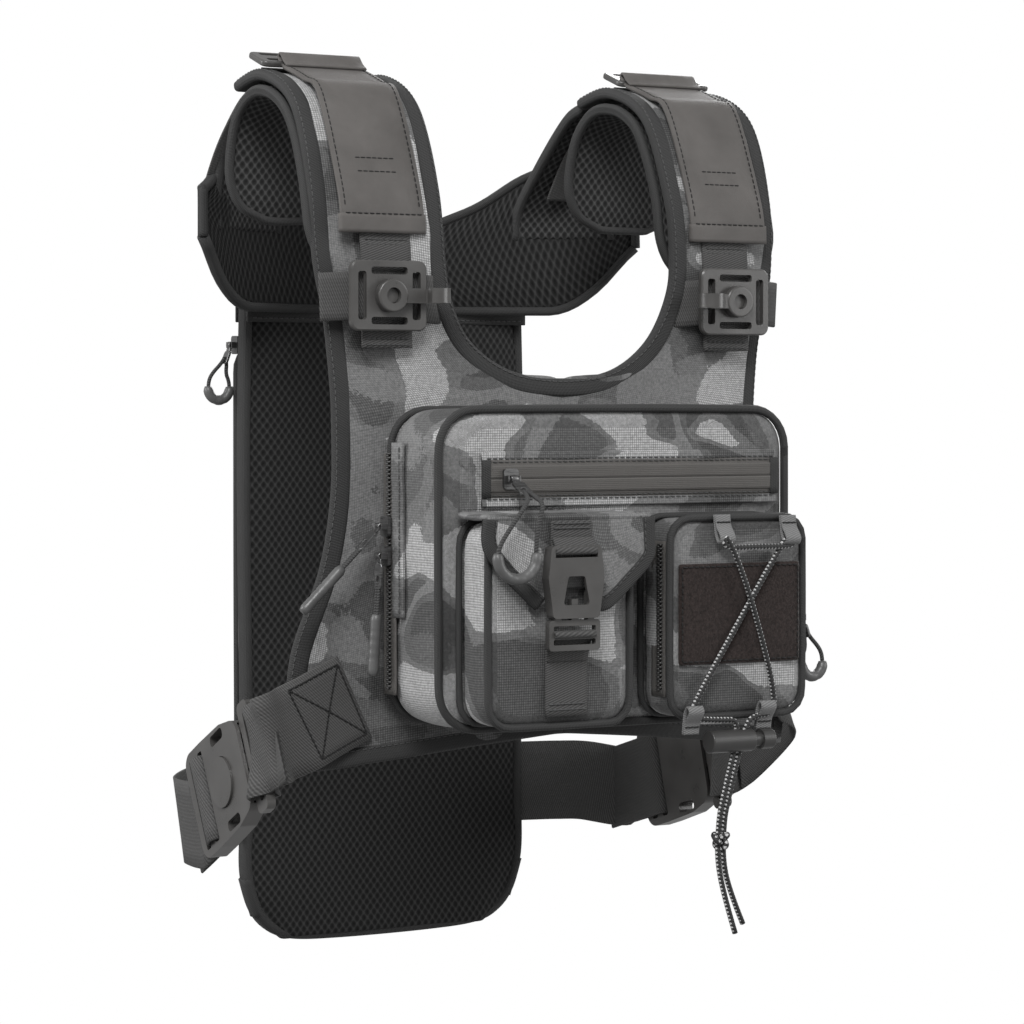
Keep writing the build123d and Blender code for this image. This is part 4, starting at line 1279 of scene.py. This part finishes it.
def spline_points(route):
    """Points in millimetres read from the smooth NURBS line of a route."""
    data = bpy.data.curves.new("route", "CURVE")
    data.dimensions = "3D"
    data.resolution_u = 10
    spline = data.splines.new("NURBS")
    spline.points.add(len(route) - 1)
    for control, place in zip(spline.points, route):
        control.co = (*(Vector(place) * MM), 1)
    spline.order_u = 3
    spline.use_endpoint_u = True
    holder = bpy.data.objects.new("route", data)
    bpy.context.collection.objects.link(holder)
    bpy.context.view_layer.update()
    line = bpy.data.meshes.new_from_object(holder)
    points = [vertex.co / MM for vertex in line.vertices]
    bpy.data.objects.remove(holder)
    bpy.data.meshes.remove(line)
    return points


def cord_tube(name, points, diameter, material, body=BODY, sides=12):
    """Round cord along points, with a frame that turns as little as it can."""
    frames = []
    up = Vector((0, -1, 0.02)).normalized()
    for i, point in enumerate(points):
        tangent = (points[min(i + 1, len(points) - 1)] - points[max(i - 1, 0)]).normalized()
        up = (up - tangent * up.dot(tangent)).normalized()
        frames.append(up)
    return sweep(name, points, round_section(diameter, sides), material, lambda i, p: frames[i], body)


def make_lacing():
    lace = [
        beside_lock(8, -1), beside_lock(-11, -1), (42, LACE_Y, -355.9), (24, LACE_Y, -354.6),
        (23, LACE_Y, -349),
        (49, LACE_Y, -310), (74, LACE_Y, -273), (86, LACE_Y - 0.3, -256), (90, LACE_Y - 0.6, -259.5),
        (87, LACE_Y - 1, -263), (66, LACE_Y - 2, -262.5), (45, LACE_Y - 2.6, -263), (41, LACE_Y - 3, -259),
        (44, LACE_Y - 3.2, -256), (55, LACE_Y - 3.4, -279), (64, LACE_Y - 3.6, -305),
        (73, LACE_Y - 2.4, -332),
        (77, LACE_Y - 0.6, -349.5), (74, LACE_Y, -354), (66, LACE_Y, -354.4), beside_lock(-11, 1),
        beside_lock(8, 1),
    ]
    piece = cord_tube("bungee_lacing", spline_points(lace), BUNGEE, BRAID)
    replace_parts(piece, "bungee_lace")
    ends = {
        -1: [(43, LACE_Y - 1.5, -450), (50, LACE_Y - 2.5, -472)],
        1: [(48, LACE_Y + 1, -448), (58, LACE_Y + 2, -468)],
    }
    knot = make_tail_knot()
    for side, name, length in ((-1, "left", 0.0998), (1, "right", 0.0963)):
        route = [
            beside_lock(8, side), beside_lock(36, side), (42.6 + 1.85 * side, LACE_Y + 0.2 * side, -411.5),
            (41.6 + 1.8 * side, LACE_Y, -430.5), *ends[side],
        ]
        points = spline_points(route)
        tail = cord_tube("bungee_tail_cord_" + name, points, BUNGEE, BRAID)
        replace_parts(tail, "bungee_tail_" + name)
        tuple(Vector(route[0]) * MM)


def make_tail_knot():
    centre = Vector((42.1, LACE_Y, -421))
    loops = []
    for k in range(72):
        t = 2 * math.pi * k / 72
        loops.append(centre + Vector((
            1.62 * (math.sin(t) + 2 * math.sin(2 * t)),
            2.3 * math.sin(3 * t), 1.45 * (math.cos(t) - 2 * math.cos(2 * t)),
        )))
    frames = []
    up = Vector((0, -1, 0))
    for i, point in enumerate(loops):
        tangent = (loops[(i + 1) % 72] - loops[i - 1]).normalized()
        up = (up - tangent * up.dot(tangent)).normalized()
        frames.append(up)
    knot = sweep("tail_knot_cord", loops, round_section(3.2, 10), BRAID, lambda i, p: frames[i],
                 closed=True)
    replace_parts(knot, "tail_knot")
    return knot


# --- zip pullers ----------------------------------------------------------------------------------

PIN_HEIGHT = 4.6
PULLER_CORD = woven_tape("puller_cord", 0.045, 1.5, 0.0, 0.6)


def plate_with_hole(name, centre, across, down, facing, width, length, hole_width, hole_length, hole_shift,
                    thickness, material, body):
    """Flat tab with rounded ends and one slot."""
    outer = rounded_section(width, length, min(width, length) * 0.24, 5)
    inner = rounded_section(hole_width, hole_length, min(hole_width, hole_length) * 0.45, 5)
    count = len(outer)
    vertices = []
    for outline, shift in ((outer, 0.0), (inner, hole_shift)):
        for height in (-1, 1):
            for a, b in outline:
                vertices.append(centre + across * a + down * (b + shift) + facing * height * thickness / 2)
    faces = []
    for k in range(count):
        n = (k + 1) % count
        low_out, top_out, low_in, top_in = 0, count, 2 * count, 3 * count
        faces.append((top_out + k, top_out + n, top_in + n, top_in + k))
        faces.append((low_out + n, low_out + k, low_in + k, low_in + n))
        faces.append((low_out + k, low_out + n, top_out + n, top_out + k))
        faces.append((low_in + n, low_in + k, top_in + k, top_in + n))
    if across.cross(down).dot(facing) < 0:
        faces = [tuple(reversed(face)) for face in faces]
    uvs = [(v.x * MM, v.z * MM) for v in vertices]
    piece = new_piece(name, vertices, faces, material, uvs, body, smooth=False)
    bevel = piece.modifiers.new("edge", "BEVEL")
    bevel.width = 0.3 * MM
    bevel.segments = 2
    bevel.limit_method = "ANGLE"
    return piece


def ring_round(name, centre, axis, radius, width, thickness, material, body):
    """Short sleeve curled round a pin."""
    axis = Vector(axis).normalized()
    one = axis.orthogonal().normalized()
    two = axis.cross(one)
    turns = [math.pi * k / 10 for k in range(20)]
    points = [centre + (one * math.cos(t) + two * math.sin(t)) * radius for t in turns]
    return sweep(name, points, rounded_section(width, thickness, 0.4), material,
                 lambda i, p: (p - centre).normalized(), body, closed=True)


def puller_tab(name, pin, pin_axis, outward, tilt, length, body):
    """Metal tab on a zip slider's pin; returns where the cord leaves it and which way it points."""
    pin, pin_axis, outward = Vector(pin), Vector(pin_axis), Vector(outward)
    tilt = math.radians(tilt)
    down = Vector((0, 0, -1)) * math.cos(tilt) + outward * math.sin(tilt)
    facing = outward * math.cos(tilt) + Vector((0, 0, 1)) * math.sin(tilt)
    ring_round(name + "_curl", pin, pin_axis, 1.6, 4.4, 0.9, METAL, body)
    plate_with_hole(name + "_neck", pin + down * 3.6, pin_axis, down, facing, 4.6, 4.4, 1.6, 1.2, 0.2, 1.3,
                    METAL, body)
    middle = pin + down * (4 + length) / 2
    tab = plate_with_hole(name + "_tab", middle, pin_axis, down, facing, 7.5, length - 4, 3.6,
                          (length - 4) * 0.42, (length - 4) * 0.2, 1.4, METAL, body)
    return tab, pin + down * (length - 1), down


def rubber_end(name, points, diameter, body):
    """Moulded grip with ribs and rounded ends."""
    path = even([Vector(p) for p in points], 1.2)
    vertices, faces = [], []
    sides = 14
    total = len(path) - 1
    up = Vector((0, -1, 0.01)).normalized()
    for i, point in enumerate(path):
        tangent = (path[min(i + 1, total)] - path[max(i - 1, 0)]).normalized()
        up = (up - tangent * up.dot(tangent)).normalized()
        side = tangent.cross(up)
        from_end = min(i, total - i)
        radius = diameter / 2 * (0.72 + 0.28 * smoothstep(from_end / 2))
        if from_end > 4 and i % 4 == 0:
            radius -= 0.22
        for k in range(sides):
            angle = 2 * math.pi * k / sides
            vertices.append(point + (side * math.cos(angle) + up * math.sin(angle)) * radius)
    for i in range(total):
        for k in range(sides):
            a, b = i * sides + k, i * sides + (k + 1) % sides
            faces.append((a, b, b + sides, a + sides))
    faces.append(tuple(reversed(range(sides))))
    faces.append(tuple(total * sides + k for k in range(sides)))
    return new_piece(name, vertices, faces, RUBBER, [(v.x * MM, v.z * MM) for v in vertices], body)


def arc_points(centre, radius, start=170, turn=200, steps=28):
    return [
        Vector((
            centre[0] + radius * math.cos(math.radians(start + turn * k / steps)),
            centre[1], centre[2] + radius * math.sin(math.radians(start + turn * k / steps)),
        ))
        for k in range(steps + 1)
    ]


def make_front_puller():
    body = "front_pull"
    tab, end, _ = puller_tab("front_pull", (-70, -172.6 - PIN_HEIGHT, -225), (1, 0, 0), (0, -1, 0), 62, 17,
                             body)
    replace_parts(tab, "front_zip_puller")
    loop_y, loop_z, lean = -220.6, -264, 23
    centre = (end.x - lean, loop_y, loop_z)
    for side in (-1, 1):
        route = [
            (end.x + side * 0.6, end.y + 2.6, end.z + 1.2), (end.x + side * 1.5, end.y - 0.8, end.z + 0.2),
            (end.x - lean * 0.25 + side * 2.4, -206, -234),
            (end.x - lean * 0.5 + side * 5, loop_y + 1, -236.5),
            (end.x - lean * 0.8 + side * 8, loop_y, -248),
            (end.x - lean + side * 11.2, loop_y, loop_z + 5),
            (end.x - lean + side * 11.4, loop_y, loop_z + 1),
        ]
        cord_tube("front_pull_cord_%s" % ("left" if side < 0 else "right"), spline_points(route), 2.4,
                  PULLER_CORD, body)
    rubber_end("front_pull_grip", arc_points(centre, 11.5), 6.0, body)


def make_main_pullers():
    for name, z, tilt in (("upper", -251, 46), ("lower", -267, 4)):
        body = name + "_pull"
        pin = (-114.4 - PIN_HEIGHT, -118, z)
        tab, end, down = puller_tab(body, pin, (0, 1, 0), (-1, 0, 0), tilt, 18, body)
        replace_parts(tab, name + "_zip_puller")
        start = end + down * 14.5
        side = Vector((0, 1, 0))
        for sign in (-1, 1):
            route = [end - down * 3 + side * sign * 0.9, end + down * 2 + side * sign * 1.5,
                     end + down * 8 + side * sign * 1.25, start + down * 3 + side * sign * 1.0]
            label = "front" if sign < 0 else "rear"
            cord_tube("%s_cord_%s" % (body, label), spline_points(route), 1.9, PULLER_CORD, body)
        rubber_end(body + "_grip", [start, start + down * 33], 6.0, body)


def make_small_pullers():
    for name, pin, outward in (
        ("side", (100.2 + PIN_HEIGHT, -192, -303), (1, 0, 0)),
        ("rear", (-92.2 - PIN_HEIGHT, 118.3, -150), (-1, 0, 0)),
    ):
        body = name + "_pull"
        tab, end, _ = puller_tab(body, pin, (0, 1, 0), outward, 20, 12, body)
        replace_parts(tab, name + "_zip_puller")
        middle = end.x + outward[0] * 4
        for side in (-1, 1):
            route = [(end.x, end.y, end.z + 3), (end.x + side * 1.4, end.y, end.z),
                     (middle + side * 4.6, end.y, end.z - 7),
                     (middle + side * 6.9, end.y, end.z - 12), (middle + side * 6.9, end.y, end.z - 16)]
            label = "inner" if side * outward[0] < 0 else "outer"
            cord_tube("%s_cord_%s" % (body, label), spline_points(route), 2.3, PULLER_CORD, body)
        rubber_end(body + "_grip", arc_points((middle, end.y, end.z - 16), 7, 170, 200, 18), 6.0, body)


# --- waist webbing --------------------------------------------------------------------------------

WAIST = {LEFT: (Vector((-170, -42, -395)), 28), RIGHT: (Vector((158, 18, -411)), 16)}


def waist_place(side, s, t, out):
    """Point beside a waist buckle: s forward and up along the strap, t across it, out away from the body."""
    origin, rise = WAIST[side]
    rise = math.radians(rise)
    along = Vector((0, -math.cos(rise), math.sin(rise)))
    across = Vector((0, math.sin(rise), math.cos(rise)))
    return origin + along * s + across * t + Vector((side, 0, 0)) * out


def make_waist_webbing():
    for side, name in ((LEFT, "left"), (RIGHT, "right")):
        make_front_waist_webbing(side, name)
        make_rear_waist_webbing(side, name)


def make_front_waist_webbing(side, name):
    if side == LEFT:
        sewn = [(-127, -103.4, -344), (-140, -102.6, -350), (-153, -101.2, -356.5), (-163, -98.4, -361.5)]
    else:
        sewn = [(120, -103.2, -328), (135, -102, -334), (150, -99.8, -341), (162, -93.5, -349),
                (168, -80, -362)]
    route = [Vector(p) for p in sewn] + [
        waist_place(side, 62, 0, 3.6),
        waist_place(side, 53, 0, 6.6), waist_place(side, 47, 0, 8.0), waist_place(side, 43.2, 0, 6.6),
        waist_place(side, 42.2, 0, 3.4), waist_place(side, 43.6, 0, 0.4), waist_place(side, 49, 0, -0.2),
        waist_place(side, 58, 0, 1.0), waist_place(side, 66, 0, 1.4),
    ]
    path = through(route, 2)
    outward = []
    for i, point in enumerate(path):
        tangent = (path[min(i + 1, len(path) - 1)] - path[max(i - 1, 0)]).normalized()
        across = Vector((0, 0, 1))
        across = (across - tangent * across.dot(tangent)).normalized()
        outward.append(tangent.cross(across).normalized() * side)
    strip = sweep("waist_webbing_" + name, path, strap_section(49, 1.8), WEBBING, lambda i, p: outward[i])
    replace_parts(strip, "waist_patches")
    last = 16   # step of the path where the box of stitches ends

    def on_strip(i, across_by):
        along = (path[i + 1] - path[i - 1]).normalized()
        return path[i] + outward[i] * 1.1 + along.cross(outward[i]) * across_by

    steps = range(1, last + 1)
    rows = []
    for line in (
        [on_strip(i, -21) for i in steps], [on_strip(i, 21) for i in steps],
        [on_strip(1, t) for t in (-21, 0, 21)], [on_strip(last, t) for t in (-21, 0, 21)],
        [on_strip(i, -21 + 42 * (i - 1) / (last - 1)) for i in steps],
        [on_strip(i, 21 - 42 * (i - 1) / (last - 1)) for i in steps],
    ):
        rows += stitch_parts(line, constant(outward[8]), 3.2, 2.6, 0.9)
    merged("waist_webbing_stitches_" + name, rows, DARK_THREAD)


def make_rear_waist_webbing(side, name):
    if side == LEFT:
        back = [(-92, 105, -424), (-104, 102, -424), (-122, 94, -424), (-142, 79, -424.5), (-158, 58, -427)]
    else:
        back = [(92, 105, -424), (104, 102, -424), (120, 97, -424), (136, 90, -424.5)]
    ladder = [
        (-62, -2.8), (-50, -2.4), (-38, -2.2), (-31.5, -0.6), (-29.2, 4), (-28.2, 8.6), (-25, 11),
        (-21, 11),
        (-18, 8.6), (-17, 4), (-15.6, -0.6), (-18.5, -3.2), (-27, -4.4), (-40, -4.8), (-56, -5.2),
        (-74, -5.0),
    ]
    route = [Vector(p) for p in back] + [waist_place(side, s, 0, out) for s, out in ladder]
    path = through(route, 2)
    rise = math.radians(WAIST[side][1])
    leaning = Vector((0, math.sin(rise), math.cos(rise)))
    normals = []
    for i, point in enumerate(path):
        tangent = (path[min(i + 1, len(path) - 1)] - path[max(i - 1, 0)]).normalized()
        lean = smoothstep((95 - point.y) / 60)
        across = Vector((0, 0, 1)).lerp(leaning, lean)
        across = (across - tangent * across.dot(tangent)).normalized()
        normals.append(tangent.cross(across).normalized() * -side)
    strip = sweep("back_webbing_" + name, path, strap_section(49, 1.7), WEBBING, lambda i, p: normals[i],
                  None)
    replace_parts(strip, "back_straps", "waist_loop_" + name)
    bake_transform(strip)


# --- carried-over parts ---------------------------------------------------------------------------


def dress(node, material, bevel=0.35):
    """Finish of a CAD part, with its sharp edges eased."""
    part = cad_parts[node]
    part.data.materials.clear()
    part.data.materials.append(material)
    if bevel:
        modifier = part.modifiers.new("eased_edges", "BEVEL")
        modifier.width = bevel * MM
        modifier.segments = 2
        modifier.limit_method = "ANGLE"
        modifier.angle_limit = math.radians(40)


def dress_cad():
    for node in (
        "shoulder_rings", "clip_frames", "hose_clip_left", "hose_clip_right", "waist_plug_left",
        "waist_plug_right",
        "waist_housing_left", "waist_housing_right", "waist_disc_left", "waist_disc_right", "pocket_socket",
        "pocket_plug",
    ):
        dress(node, PLASTIC, 0.5)
    dress("cord_lock", DARK_PLASTIC)
    dress("lock_plunger", DARK_PLASTIC)
    dress("lock_spring", STEEL, 0)
    for name in ("front", "upper", "lower", "side", "rear"):
        dress(name + "_zip_slider", METAL, 0.3)


make_lacing()
make_bib()
make_shoulders()
make_back()
make_pouch()
make_left_pocket()
make_right_pocket()
make_front_puller()
make_main_pullers()
make_small_pullers()
make_waist_webbing()
dress_cad()
